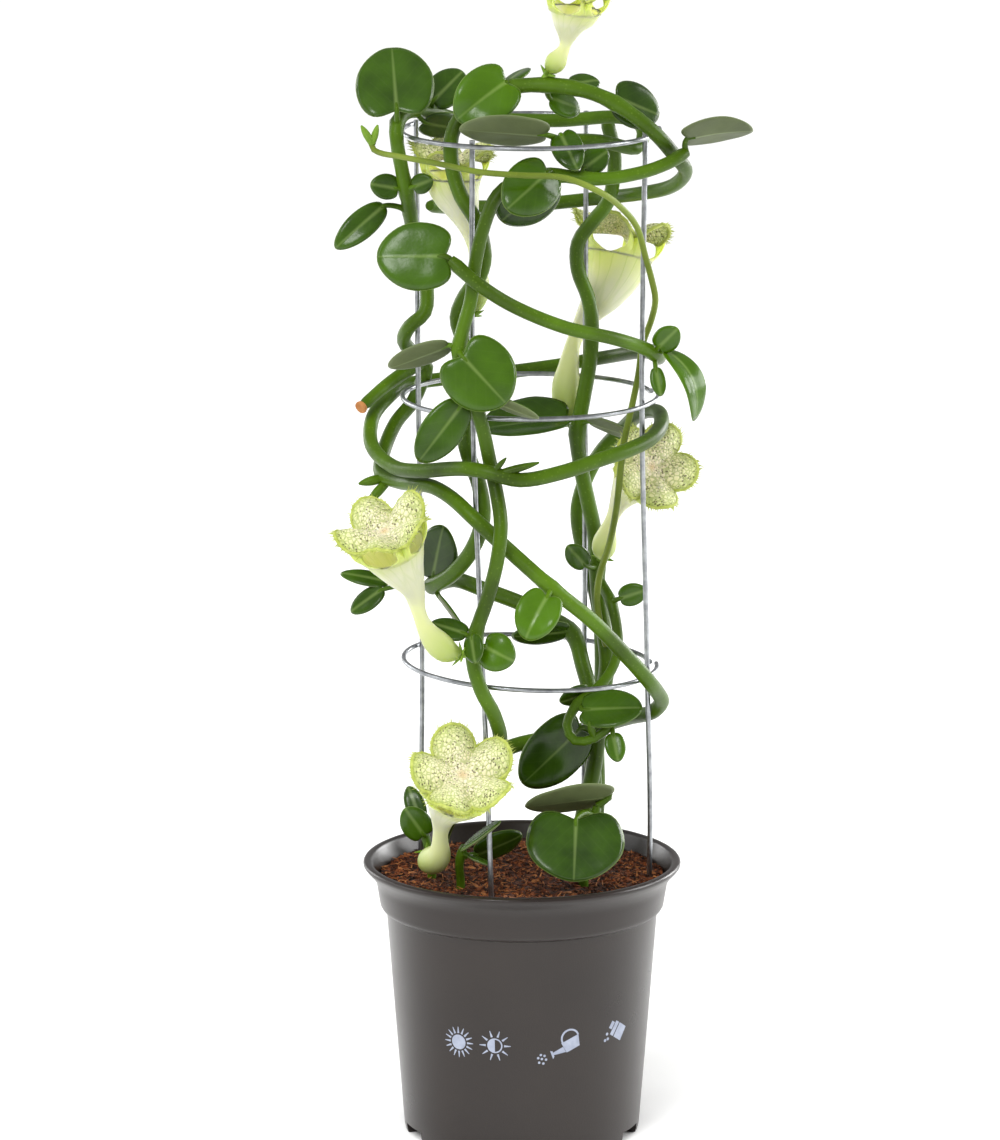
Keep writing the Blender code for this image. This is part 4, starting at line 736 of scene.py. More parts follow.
# %% Sheets
class Sheet:
    """A mesh in the making. A corner is a vertex with its place on the UV map."""

    def __init__(self, *value_names):
        self.shape = bmesh.new()
        self.uv_layer = self.shape.loops.layers.uv.new("UVMap")
        self.value_layers = [self.shape.verts.layers.float.new(name) for name in value_names]

    def corner(self, spot, uv, *values):
        """A corner at a spot in millimetres, which carries the sheet's named values."""
        vertex = self.shape.verts.new(spot * MM)
        for layer, value in zip(self.value_layers, values):
            vertex[layer] = value
        return vertex, uv

    def face(self, corners, finish_slot=0):
        """One smooth face."""
        face = self.shape.faces.new([vertex for vertex, _ in corners])
        face.smooth = True
        face.material_index = finish_slot
        for loop, (_, uv) in zip(face.loops, corners):
            loop[self.uv_layer].uv = uv

    def strip(self, rows):
        """Faces between open rows of corners."""
        for low, high in zip(rows, rows[1:]):
            for j in range(len(low) - 1):
                self.face((low[j], low[j + 1], high[j + 1], high[j]))

    def dome(self, middle, rings, flip=False, finish_slot=0):
        """Faces from a middle corner out over closed rings of corners."""
        count = len(rings[0])
        for i in range(count):
            k = (i + 1) % count
            fan = [[middle, rings[0][i], rings[0][k]]]
            fan += [[a[i], b[i], b[k], a[k]] for a, b in zip(rings, rings[1:])]
            for corners in fan:
                self.face(corners[::-1] if flip else corners, finish_slot)


def to_object(name, shape, *finishes):
    """A bmesh as an object in the scene, with its finishes."""
    mesh = bpy.data.meshes.new(name)
    shape.to_mesh(mesh)
    shape.free()
    for finish in finishes:
        mesh.materials.append(finish)
    return link(name, mesh)


print("a sheet draws with: corner, face, strip, dome")

# %% [markdown]
# ## Leaf blades as fleshy lenses
# A succulent leaf is thick in the middle and thin at its rim, so the blade is built as a lens: rings of
# the heart-shaped outline shrink towards a point on the midrib, once above and once below, and share
# their last ring. Above and below carry different finishes. The outline is the one in the CAD, with a
# notch at the stalk, and a slight ripple keeps two leaves from looking stamped.

# %% Blade shape
BLADE_SIDES = 44
BLADE_RINGS = 9
BLADE_THICKNESS = 1.7
BLADE_CENTRE = 0.42
NARROW_BLADE = 0.55
ROUND_SIDES = 0.14
BLADE_TAPER, ROUND_BLADE_TAPER = 0.20, 0.34
LOBE_DEPTH = 0.72
CUPPING = 0.05
RIPPLE = 0.02
RIPPLES_PER_MM = 0.11


def turns(count, shift=0.0):
    """Even angles round a circle."""
    return [2 * math.pi * (k + shift) / count for k in range(count)]


def blade_outline(angle, length, width, lobe):
    """A point on the blade's edge: along the midrib, and across it. Angle 0 is the notch."""
    turn = math.cos(angle)
    round_share = min(max((width / length - NARROW_BLADE) / (1 - NARROW_BLADE), 0.0), 1.0)
    lobes = LOBE_DEPTH * lobe * abs(math.sin(angle)) * ((1 + turn) / 2)**3
    reach = abs(math.sin(angle))**(1 - ROUND_SIDES * round_share)
    taper = BLADE_TAPER + (ROUND_BLADE_TAPER - BLADE_TAPER) * round_share
    across = width / 2 * math.copysign(reach, math.sin(angle)) * (1 - taper * ((1 - turn) / 2)**3)
    return length * (0.5 - 0.5 * turn - lobes), across


def add_blade(sheet, leaf):
    """Adds one closed blade to a sheet, with its edge share and its painted light, from painted shade at 0
    to painted full light at 1.
    """
    _, foot, tip, width, facing, fold, bend, lobe, tone = leaf
    foot, tip = Vector(foot), Vector(tip)
    length = (tip - foot).length
    midrib = (tip - foot).normalized()
    normal = Vector(facing)
    normal = (normal - midrib * normal.dot(midrib)).normalized()
    side = normal.cross(midrib)
    rise = math.tan(math.radians(fold))
    centre = BLADE_CENTRE * length
    outline = [blade_outline(angle, length, width, lobe) for angle in turns(BLADE_SIDES)]

    def add_corner(along, across, share, above):
        run = min(max(along / length, 0.0), 1.0)
        crease = math.sqrt(across**2 + 1.0) - 1.0
        height = crease * rise + 4 * bend * length * run * (1 - run)
        height -= CUPPING * width * (2 * across / width)**2 * share
        place = Vector((along, across, foot.z)) * RIPPLES_PER_MM
        height += RIPPLE * width * share**2 * noise.noise(place)
        height += above * BLADE_THICKNESS / 2 * math.sqrt(max(0.0, 1 - share**5))
        spot = foot + midrib * along + side * across + normal * height
        return sheet.corner(spot, (along / UV_SPAN, across / UV_SPAN + 0.5), share, tone)

    rim = [add_corner(along, across, 1.0, 0) for along, across in outline]
    for above in (1, -1):
        middle = add_corner(centre, 0.0, 0.0, above)
        rings = []
        for j in range(1, BLADE_RINGS):
            share = (j / BLADE_RINGS)**0.8
            rings.append([add_corner(centre + (along - centre) * share, across * share, share, above)
                          for along, across in outline])
        sheet.dome(middle, rings + [rim], flip=above > 0, finish_slot=0 if above > 0 else 1)


def make_blades(name, leaves):
    """All the blades of one stem in one mesh."""
    sheet = Sheet("edge", "tone")
    for leaf in leaves:
        add_blade(sheet, leaf)
    return to_object(name, sheet.shape, waxy_leaf, leaf_underside)


trial = make_blades("trial_blade", LEAVES["shoot_right"][:1])
print("one blade:", len(trial.data.polygons), "faces")
bpy.data.objects.remove(trial)

# %% [markdown]
# ## Grow each stem with its leaves
# A stem swells a little where a pair of leaves sits. The radius along a route is therefore the stem's
# taper plus a soft bump at each joint. Leaf stalks are short routes in the same sweep, bowed so that
# they leave the stem and enter the blade smoothly. Buds and stubs are short routes too.

# %% Stems, leaf stalks and buds
ROUTE_STEP = 3.0
STEM_SIDES, SLIM_SIDES = 18, 10
TIP_TAPER = 0.82
SWELLING, SWELLING_REACH, MOST_SWELLING = 0.16, 3.2, 1.2
TIP_ROUNDING = 0.72
STALK_BOW, STALK_INSIDE, STALK_LOSS = 0.12, 3.0, 0.35
BUD_SHAPE = (1.0, 1.0, 1.05, 1.1, 1.1, 1.0, 0.85, 0.6, 0.25)


def stem_radii(radius, route, joints):
    """The radius at each point of a stem, with a swelling at each joint."""
    last = len(route) - 1
    radii = []
    for i, point in enumerate(route):
        swell = sum(math.exp(-((point - joint).length / SWELLING_REACH)**2) for joint in joints)
        taper = radius * (1 - (1 - TIP_TAPER) * i / last)
        radii.append(taper * (1 + SWELLING * min(swell, MOST_SWELLING)))
    radii[-1] *= TIP_ROUNDING
    return radii


def tapered(route, radius, loss=0.0):
    """A route with its radii, which lose a share of their size along it."""
    return route, [radius * (1 - loss * i / (len(route) - 1)) for i in range(len(route))]


def stalk_route(leaf):
    """A leaf's stalk, from the stem's middle into the blade."""
    joint, foot, tip = (Vector(point) for point in leaf[:3])
    midrib = (tip - foot).normalized()
    bow = (joint + foot) / 2 - midrib * STALK_BOW * (foot - joint).length
    route = route_through([joint, bow, foot, foot + midrib * STALK_INSIDE], 1.2)
    return tapered(route, 1.0 + 0.012 * (tip - foot).length, STALK_LOSS)


def bud_route(bud):
    """A pointed bud or stub."""
    foot, tip, width = Vector(bud[0]), Vector(bud[1]), bud[2]
    last = len(BUD_SHAPE) - 1
    return [foot.lerp(tip, i / last) for i in range(last + 1)], [width * share for share in BUD_SHAPE]


def join(name, objects):
    """Joins meshes to the first one and names it."""
    first = objects[0]
    if len(objects) > 1:
        with bpy.context.temp_override(active_object=first, selected_editable_objects=objects):
            bpy.ops.object.join()
    first.name = name
    return first


def grow(node):
    """The finer piece for one stem of the frame."""
    leaves, buds = LEAVES.get(node, []), BUDS.get(node, [])
    joints = [Vector(leaf[0]) for leaf in leaves]
    routes = []
    for radius, points in [STEMS[node]] + BRANCHES.get(node, []):
        route = route_through(points, ROUTE_STEP)
        routes.append((route, stem_radii(radius, route, joints)))
    finish = olive_twig if node == "twig" else fleshy_stem
    pieces = [sweep(f"{node}_flesh", routes, STEM_SIDES, finish)]
    if leaves:
        stalks = [stalk_route(leaf) for leaf in leaves]
        pieces.append(sweep(f"{node}_stalks", stalks, SLIM_SIDES, fleshy_stem))
        pieces.append(make_blades(f"{node}_blades", leaves))
    if buds:
        bud_finish = bud_green if node == "twig" else fleshy_stem
        pieces.append(sweep(f"{node}_buds", [bud_route(bud) for bud in buds], SLIM_SIDES, bud_finish))
    return join(f"{node}_grown", pieces)


for node in STEMS:
    grown = grow(node)
    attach(grown, "root")
    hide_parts(node)
    print(node, "faces:", len(grown.data.polygons))

# %% [markdown]
# ## The dried cut
# One old stem was cut off. Its end has dried to an orange-brown cork, a little wider than the stem,
# and it is the only warm spot in the upper plant.

# %% The dried cut
end, before = Vector((-60, 6, 277.3)), Vector((-49.5, 17.5, 284.5))
outward = (end - before).normalized()
cut_points = [end - outward * 0.6, end + outward * 0.3, end + outward * 0.9]
cut_piece = sweep("dried_cut_end", [(cut_points, [2.25, 2.5, 2.3])], 18, dried_cut)
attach(cut_piece, "root")
print("cut end faces:", len(cut_piece.data.polygons))

# %% [markdown]
# ## Flower tubes
# The tube is one loft: a swollen foot, a slim neck that bends, and a funnel. Its wall is thin, so the
# loft turns over at the mouth and runs back down the inside to the throat, which leaves the funnel
# open as on the real flower. The frame of each ring is carried along from the last, so that nothing
# twists.

# %% The tube of a flower
TUBE_PROFILE = [
    (0.0, 0.07), (0.04, 0.16), (0.13, 0.26), (0.23, 0.265), (0.33, 0.20), (0.43, 0.15), (0.52, 0.16),
    (0.64, 0.25), (0.77, 0.42), (0.89, 0.58), (1.0, 0.70)]
TUBE_SIDES = 40
PETAL_WALL = 0.7
# Painted light: the inside of the funnel reads its colour from this share of the way, lower and paler on the
# ramp than the outside at the same height.
INSIDE_WAY = 0.84
MOUTH_WAY = 0.9
THROAT = 0.55
MOUTH_TURN = 0.2
GROOVE_DEPTH = 0.1
LOBES = 5


def profile_radius(share):
    """The tube's radius at a share of its length, as a share of the canopy's radius."""
    for i, ((a, low), (b, high)) in enumerate(zip(TUBE_PROFILE, TUBE_PROFILE[1:])):
        if share <= b:
            t = (share - a) / (b - a)
            before_it = TUBE_PROFILE[max(i - 1, 0)]
            after_it = TUBE_PROFILE[min(i + 2, len(TUBE_PROFILE) - 1)]
            slope_a = (high - before_it[1]) / (b - before_it[0]) * (b - a)
            slope_b = (after_it[1] - low) / (after_it[0] - a) * (b - a)
            return cubic(t, low, slope_a, high, slope_b)
    return TUBE_PROFILE[-1][1]


def frame_of(axis):
    """Two directions square to an axis."""
    across = Vector((0, 1, 0)).cross(axis)
    if across.length < 0.2:
        across = Vector((1, 0, 0)).cross(axis)
    across.normalize()
    return across, axis.cross(across).normalized()


def spoke(across, up, angle):
    """The direction at an angle between two directions."""
    return across * math.cos(angle) + up * math.sin(angle)


def add_tube(sheet, route, axis, size):
    """Adds the tube: outside from foot to mouth, then inside from mouth to throat."""
    last = len(route) - 1
    sections = []
    for i, point in enumerate(route):
        ahead = route[min(i + 1, last)] - route[max(i - 1, 0)]
        share = i / last
        turned = max(0.0, (share - (1 - MOUTH_TURN)) / MOUTH_TURN)**2
        direction = ahead.normalized().lerp(axis, turned).normalized()
        sections.append((point, direction, profile_radius(share) * size, share))
    # The inside rings take a smaller share of the way, so their colour is painted paler, as painted light.
    sections += [(point, direction, radius - PETAL_WALL, share * INSIDE_WAY)
                 for point, direction, radius, share in reversed(sections[round(last * THROAT):])]
    across, _ = frame_of(sections[0][1])
    rings = []
    for point, direction, radius, share in sections:
        across = (across - direction * across.dot(direction)).normalized()
        up = direction.cross(across)
        ring = []
        for k, angle in enumerate(turns(TUBE_SIDES)):
            grooves = 1 + GROOVE_DEPTH * math.cos(LOBES * angle) * share**2 * (1 - share)
            spot = point + spoke(across, up, angle) * radius * grooves
            ring.append(sheet.corner(spot, (k / TUBE_SIDES, share), share * MOUTH_WAY))
        ring.append((ring[0][0], (1.0, share)))
        rings.append(ring)
    sheet.strip(rings)
    for end_ring in (rings[0][-2::-1], rings[-1][:-1]):
        sheet.shape.faces.new([vertex for vertex, _ in end_ring])


print("tube radius at the neck, as a share of the canopy's:", round(profile_radius(0.43), 3))

# %% [markdown]
# ## Windows and canopy
# Above the mouth each of the five petals narrows to a band, which joins its neighbours in the canopy.
# The gaps between bands are the windows. Both are ruled by formulas: a band narrows along an arc of an
# ellipse, so the windows are round at the foot, and the canopy is a dome of rings whose outline dips
# at each band and whose lobes rise between them. The bands lap half a millimetre over the mouth.

# %% The windows and the canopy of a flower
WINDOW_HEIGHT = 0.36
WINDOW_OPENS_AT = 0.5
BAND_HALF_TURN = math.radians(36)
BAND_TOP_HALF_TURN = math.radians(10)
BAND_STEPS, BAND_COLUMNS = 16, 8
BAND_LAP, LAP_STEP = 0.5, 0.05
BAND_BULGE = 0.05
LOBE_NOTCH, LOBE_RISE, LOBE_HEM, LOBE_ROUND = 0.27, 0.28, 0.28, 1.4
CANOPY_EDGE, CANOPY_CROWN, CROWN_WAVE = 0.97, 0.05, 0.82
CANOPY_SIDES, CANOPY_RINGS = 100, 16
RUFFLE, RUFFLES = 0.012, 31


def lobe_at(angle):
    """1 in the middle of a lobe and 0 at the band between two lobes."""
    return abs(math.sin(LOBES * angle / 2))


def canopy_height(share, angle):
    """Height over the mouth, as a share of the canopy's radius."""
    ruffle = RUFFLE * math.sin(RUFFLES * angle) * share**6
    swell = LOBE_RISE * math.sin(CROWN_WAVE * math.pi * share)**2 * (0.35 + 0.65 * share)
    lobe = (swell + LOBE_HEM * share**3) * lobe_at(angle)**LOBE_ROUND
    return WINDOW_HEIGHT + CANOPY_CROWN * (1 - share**2) + lobe + ruffle


def canopy_reach(share, angle):
    """Distance from the middle, as a share of the canopy's radius."""
    return share * (CANOPY_EDGE - LOBE_NOTCH * (1 - lobe_at(angle))**2 * share)


def placing(mouth, axis, size):
    """A function that finds a spot from its angle, reach and height, as shares of the canopy's radius."""
    across, up = frame_of(axis)

    def place(angle, reach, height):
        return mouth + spoke(across, up, angle) * reach * size + axis * height * size

    return place


def add_windows(sheet, place, size):
    """Adds the five bands between the windows, ruled from the mouth's circle to the canopy's rim."""
    foot = profile_radius(1) - (PETAL_WALL / 2 - LAP_STEP) / size
    for band_angle in turns(LOBES):
        rows = []
        for i in range(BAND_STEPS + 1):
            t = i / BAND_STEPS
            open_share = math.sqrt(max(0.0, 1 - (1 - min(t / WINDOW_OPENS_AT, 1.0))**2))
            half = BAND_HALF_TURN - (BAND_HALF_TURN - BAND_TOP_HALF_TURN) * open_share
            row = []
            for j in range(BAND_COLUMNS + 1):
                angle = band_angle + half * (2 * j / BAND_COLUMNS - 1)
                reach = (1 - t) * foot + t * canopy_reach(1, angle) + BAND_BULGE * math.sin(math.pi * t)
                rise = t * canopy_height(1, angle) if i else -BAND_LAP / size
                row.append(sheet.corner(place(angle, reach, rise), (angle / (2 * math.pi), 0.9 + 0.2 * t),
                                        MOUTH_WAY + (1 - MOUTH_WAY) * t))
            rows.append(row)
        sheet.strip(rows)


def canopy_ring(place, share):
    """Each angle round the canopy at a share of its radius, with its reach and its spot."""
    ring = [(angle, canopy_reach(share, angle)) for angle in turns(CANOPY_SIDES)]
    return [(angle, reach, place(angle, reach, canopy_height(share, angle))) for angle, reach in ring]


def add_canopy(sheet, place, size):
    """Adds the open canopy. Its UV map holds millimetres from the middle."""
    middle = sheet.corner(place(0, 0, canopy_height(0, 0)), (0.5, 0.5), 0.0)
    rings = []
    for j in range(1, CANOPY_RINGS + 1):
        share = j / CANOPY_RINGS
        rings.append([
            sheet.corner(spot, (0.5 + reach * size * math.cos(angle) / UV_SPAN,
                                0.5 + reach * size * math.sin(angle) / UV_SPAN), share)
            for angle, reach, spot in canopy_ring(place, share)])
    sheet.dome(middle, rings)


def petal_object(name, sheet, finish, wall=0.0):
    """A sheet of petal tissue as an object, thickened where it is open."""
    obj = to_object(name, sheet.shape, finish)
    if wall:
        thick = obj.modifiers.new("wall", "SOLIDIFY")
        thick.thickness = wall * MM
        thick.offset = 0.0
        obj = bake(obj)
    obj.data.set_sharp_from_angle(angle=math.radians(50))
    return obj


print("canopy height over the mouth, as a share of its radius:", round(canopy_height(0, 0), 3))

# %% [markdown]
# ## The fringe
# The canopy's rim carries a fringe of fine hairs. They repeat along a path, so a second tree sets one
# small spike on each of many points round the rim, turns it outwards with some scatter, and makes
# the copies real. A spike is a three-sided cone, since there are hundreds of them.

# %% The fringing tree
FRINGE_COUNT = 320
FRINGE_LENGTH = 2.6 * MM
FRINGE_RADIUS = 0.2 * MM
FRINGE_SCATTER = 0.5


def make_fringe_tree():
    """Spikes along a curve, pointing away from an inner point, with a fixed seed."""
    tree, given, identifiers = new_tree("fringe_along_rim", [
        ("Rim", "Geometry"), ("Count", "Int"), ("Middle", "Vector"), ("Length", "Float"), ("Seed", "Int"),
        ("Finish", "Material")])
    points = add_node(tree, "GeometryNodeCurveToPoints", {
        "Curve": given["Rim"], "Count": given["Count"]}, mode="COUNT")
    spike = add_node(tree, "GeometryNodeMeshCone", {
        "Vertices": 3, "Radius Top": 0.0, "Radius Bottom": FRINGE_RADIUS, "Depth": given["Length"]})
    place = add_node(tree, "GeometryNodeInputPosition").outputs[0]
    outward = add_node(tree, "ShaderNodeVectorMath", {0: place, 1: given["Middle"]}, operation="SUBTRACT")
    plain = add_node(tree, "ShaderNodeVectorMath", {0: outward.outputs[0]}, operation="NORMALIZE")
    scatter = add_node(tree, "FunctionNodeRandomValue", {
        0: (-FRINGE_SCATTER,) * 3, 1: (FRINGE_SCATTER,) * 3, "Seed": given["Seed"]},
        data_type="FLOAT_VECTOR")
    aim = add_node(tree, "ShaderNodeVectorMath", {0: plain.outputs[0], 1: scatter.outputs[0]},
                   operation="ADD")
    turn = add_node(tree, "FunctionNodeAlignRotationToVector", {"Vector": aim.outputs[0]}, axis="Z")
    reach = add_node(tree, "FunctionNodeRandomValue", {2: 0.6, 3: 1.3, "Seed": given["Seed"]})
    spikes = add_node(tree, "GeometryNodeInstanceOnPoints", {
        "Points": points.outputs["Points"], "Instance": spike.outputs["Mesh"],
        "Rotation": turn.outputs[0], "Scale": reach.outputs[1]})
    end_tree(tree, spikes.outputs[0], given["Finish"])
    return tree, identifiers


fringe_tree, FRINGE_INPUTS = make_fringe_tree()
print("fringing tree:", len(fringe_tree.nodes), "nodes")

# %% [markdown]
# ## Assemble the flowers
# Each flower is a tube, a ring of window bands, a canopy with a rolled hem and its fringe, a stalk that
# springs from the stem, and five small pointed sepals at the swollen foot.

# %% Flowers
HEM_RADIUS, HEM_SIDES = 0.036, 8
STALK_RADIUS = 1.15
SEPAL_RADIUS, SEPAL_LOSS, SEPAL_RISE = 0.9, 0.85, 0.06


def sepal_routes(foot, direction, size):
    """Five small pointed sepals round the flower's foot."""
    across, up = frame_of(direction)
    routes = []
    for angle in turns(LOBES, 0.5):
        away = spoke(across, up, angle)
        points = [foot + away * size * reach + direction * rise
                  for reach, rise in ((0.05, -0.3), (0.16, 0.2), (0.27, SEPAL_RISE * size))]
        routes.append(tapered(route_through(points, 0.8), SEPAL_RADIUS, SEPAL_LOSS))
    return routes


def bloom(node, seed):
    """The finer piece for one flower of the frame."""
    joint, tube, facing, size = FLOWERS[node]
    axis = Vector(facing).normalized()
    route = route_through(tube, 1.6)
    place = placing(route[-1], axis, size)
    tube_sheet, window_sheet, canopy_sheet = Sheet("way"), Sheet("way"), Sheet("edge")
    add_tube(tube_sheet, route, axis, size)
    add_windows(window_sheet, place, size)
    add_canopy(canopy_sheet, place, size)
    rim = [spot for _, _, spot in canopy_ring(place, 1)]
    rim_curve = poly_curve(f"{node}_fringe", [tapered(rim, 1.0)], closed=True)
    middle = place(0, 0, WINDOW_HEIGHT) * MM
    stalk = route_through([joint, Vector(joint).lerp(route[0], 0.6), route[0], route[3]], 1.5)
    start = (route[1] - route[0]).normalized()
    return join(f"{node}_bloom", [
        petal_object(f"{node}_tube", tube_sheet, petal_tube),
        petal_object(f"{node}_windows", window_sheet, petal_tube, PETAL_WALL),
        petal_object(f"{node}_canopy", canopy_sheet, petal_canopy, PETAL_WALL),
        run_tree(rim_curve, fringe_tree, FRINGE_INPUTS,
                 (FRINGE_COUNT, middle, FRINGE_LENGTH, seed, petal_fringe)),
        sweep(f"{node}_hem", [tapered(rim + rim[:2], HEM_RADIUS * size)], HEM_SIDES, petal_fringe),
        sweep(f"{node}_stalk", [tapered(stalk, STALK_RADIUS)], SLIM_SIDES, bud_green),
        sweep(f"{node}_sepals", sepal_routes(route[0], start, size), HEM_SIDES, bud_green)])


for seed, node in enumerate(FLOWERS):
    flower = bloom(node, seed)
    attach(flower, "root")
    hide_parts(node)
    print(node, "faces:", len(flower.data.polygons))

# %% [markdown]
# ## The wire cage
# Four stakes and three hoops of drawn wire. The same sweeping tree draws them with even radii. A hoop
# is a little more than a full turn, so that its ends pass each other, as bent wire does.

# %% Stakes and hoops
STAKES = {
    "stake_left": [(-38.4, 18.5, 60), (-38.4, 18.5, 103), (-37.8, 19.6, 181), (-38.9, 16.3, 282),
                   (-39.4, 14.8, 384)],
    "stake_front": [(-11.7, -37, 60), (-11.7, -37, 103), (-14.4, -41.3, 181), (-18.2, -39.6, 282),
                    (-18.4, -39.5, 384)],
    "stake_back": [(22.4, 36.4, 60), (23.6, 38.4, 103), (24, 39.1, 181), (24, 39.1, 282), (24, 39.1, 384)],
    "stake_right": [(44.5, -2, 60), (48.2, -2, 103), (46.8, -6, 181), (44.2, -15.8, 282), (45, -13.8, 384)],
}
HOOPS = {"ring_low": (181.0, -2.0), "ring_mid": (282.5, 0.0), "ring_top": (382.0, 0.0)}
HOOP_STEPS = 150
HOOP_RADIUS = 47.0
HOOP_START, HOOP_TURN = -2, 370
HOOP_END, END_SLOPE = 0.07, 22
LIFTED_END, LIFT_SLOPE = 0.04, 60
CAGE_AXIS_X = 2.5
STAKE_WIRE, HOOP_WIRE, WIRE_SIDES = 1.0, 0.9, 14


def hoop_route(height, rise):
    """A full turn of wire about the cage's axis, whose ends pass each other."""
    points = []
    for i in range(HOOP_STEPS + 1):
        share = i / HOOP_STEPS
        angle = math.radians(HOOP_START + HOOP_TURN * share)
        radius = HOOP_RADIUS + END_SLOPE * (max(0.0, share - (1 - HOOP_END)) - max(0.0, HOOP_END - share))
        lift = LIFT_SLOPE * max(0.0, LIFTED_END - share)
        x = radius * math.cos(angle)
        points.append((CAGE_AXIS_X + x, radius * math.sin(angle), height + rise * x / HOOP_RADIUS + lift))
    return points


wires = [(node, route_through(points, 4.0), STAKE_WIRE) for node, points in STAKES.items()]
wires += [(node, hoop_route(*bend), HOOP_WIRE) for node, bend in HOOPS.items()]
for node, route, radius in wires:
    wire = sweep(f"{node}_wire", [tapered(route, radius)], WIRE_SIDES, galvanised_wire)
    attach(wire, "root")
    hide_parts(node)
print("wires:", len(wires))

# %% [markdown]
# ## The pot
# The pot is turned from one profile, as its mould was: foot ring, tapered wall, a step to the collar
# and a rolled lip. The CAD's flat sides would show in the rim's highlight, so this piece turns the same
# profile in 160 steps. The notches round the foot are cut with boxes and the floor's holes with drills.

# %% The pot
POT_STEPS = 160
STEP_HEIGHT, BODY_TOP, BASE_RADIUS = 87.2, 51.35, 44.5
NOTCHES, NOTCH_BOX = 8, (12, 14, 8)
DRAINS, DRAIN_CIRCLE, DRAIN_RADIUS = 6, 29, 4
MERGE_GAP = 0.05
POT_PROFILE = [
    (0, 1.6), (15.5, 1.6), (18.5, 5.5), (43.6, 5.5), (50.0, 87.0), (50.9, 88.2), (52.4, 88.9), (53.5, 97.5),
    (56.1, 101.6), (56.6, 103.9), (57.2, 104.7), (58.0, 105.0), (58.9, 104.95), (59.6, 104.6), (60, 103.9),
    (59.9, 103.2), (59.3, 102.4), (57.6, 100.6), (56.4, 99.2), (55.5, 97.6), (55.0, 96.4), (54.8, 95.2),
    (53.8, 89.0), (53.6, 88.0), (53.1, 87.1), (52.3, 86.5), (51.5, 86.0), (51.2, 85.1), (45.22, 9.0),
    (45.13, 8.0), (44.66, 2.0), (44.2, 0.3), (43.6, 0), (40.8, 0), (39.2, 4.2), (18.5, 4.2), (17.0, 0),
    (0, 0)]


def wall_radius(height):
    """The pot's outer radius under its collar, at a height."""
    return BASE_RADIUS + (BODY_TOP - BASE_RADIUS) * height / STEP_HEIGHT


def pot_cutters():
    """A box for each notch round the foot and a drill for each drain hole."""
    cutters = bpy.data.collections.new("pot_cutters")
    away = Matrix.Translation((BASE_RADIUS * MM, 0, 0))
    stretch = Matrix.Diagonal([side * MM for side in NOTCH_BOX] + [1])
    for angle in turns(NOTCHES, 0.5):
        shape = bmesh.new()
        bmesh.ops.create_cube(shape, size=1, matrix=Matrix.Rotation(angle, 4, "Z") @ away @ stretch)
        cutters.objects.link(to_object("notch", shape))
    for angle in turns(DRAINS):
        x, y = DRAIN_CIRCLE * MM * math.cos(angle), DRAIN_CIRCLE * MM * math.sin(angle)
        shape = bmesh.new()
        bmesh.ops.create_cone(
            shape, cap_ends=True, segments=24, radius1=DRAIN_RADIUS * MM, radius2=DRAIN_RADIUS * MM,
            depth=10 * MM, matrix=Matrix.Translation((x, y, 4 * MM)))
        cutters.objects.link(to_object("drain", shape))
    return cutters


def make_pot():
    """The turned pot with its notches and drain holes."""
    mesh = bpy.data.meshes.new("pot_moulded")
    points = [(radius * MM, 0, height * MM) for radius, height in POT_PROFILE]
    mesh.from_pydata(points, [(i, i + 1) for i in range(len(points) - 1)], [])
    pot = link("pot_moulded", mesh)
    screw = pot.modifiers.new("turn", "SCREW")
    screw.steps = screw.render_steps = POT_STEPS
    screw.use_merge_vertices = True
    screw.merge_threshold = MERGE_GAP * MM
    cutters = pot_cutters()
    cut = pot.modifiers.new("cut", "BOOLEAN")
    cut.operation = "DIFFERENCE"
    cut.operand_type = "COLLECTION"
    cut.collection = cutters
    pot = bake(pot)
    for helper in list(cutters.objects):
        bpy.data.objects.remove(helper)
    bpy.data.collections.remove(cutters)
    pot.data.shade_smooth()
    pot.data.set_sharp_from_angle(angle=math.radians(38))
    pot.data.materials.clear()
    pot.data.materials.append(moulded_pot)
    return pot


pot = make_pot()
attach(pot, "root")
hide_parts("pot")
print("pot faces:", len(pot.data.polygons))

# %% [markdown]
# ## Care marks on the pot
# Nursery pots carry small printed care marks. These four are plain ones drawn for this lesson: full
# sun, half sun, a watering can and a feeding bottle. Each is drawn flat in millimetres, then wrapped
# on the tapered wall a few hundredths of a millimetre proud, like a film of ink.

# %% Care marks
INK_PROUD, INK_SUNK = 0.06, -0.1
STRIP = 0.8
MARK_HEIGHT = 45.0
SUN_RADIUS, SUN_LINE = 2.9, 0.5
RAY_FOOT, RAY_TIP, RAY_FOOT_HALF, RAY_TIP_HALF = 3.5, 6.0, 0.42, 0.12


def arc(centre, radius, count, start=0.0, turn=2 * math.pi):
    """Points on an arc in the flat drawing."""
    return [(centre[0] + radius * math.cos(start + turn * i / count),
             centre[1] + radius * math.sin(start + turn * i / count)) for i in range(count + 1)]


def arched_band(centre, outer, inner, count, start, turn):
    """An arc with a width, as a row of small four-sided shapes."""
    a, b = arc(centre, outer, count, start, turn), arc(centre, inner, count, start, turn)
    return [[a[i], a[i + 1], b[i + 1], b[i]] for i in range(count)]


def tilted(centre, degrees, outlines):
    """Outlines turned about a mark's centre."""
    turn = Matrix.Rotation(math.radians(degrees), 2)
    return [[tuple(Vector(centre) + turn @ Vector(point)) for point in outline] for outline in outlines]


def drops(centre, radius, places):
    """Small round drops."""
    return [arc((centre[0] + dx, centre[1] + dz), radius, 10)[:-1] for dx, dz in places]


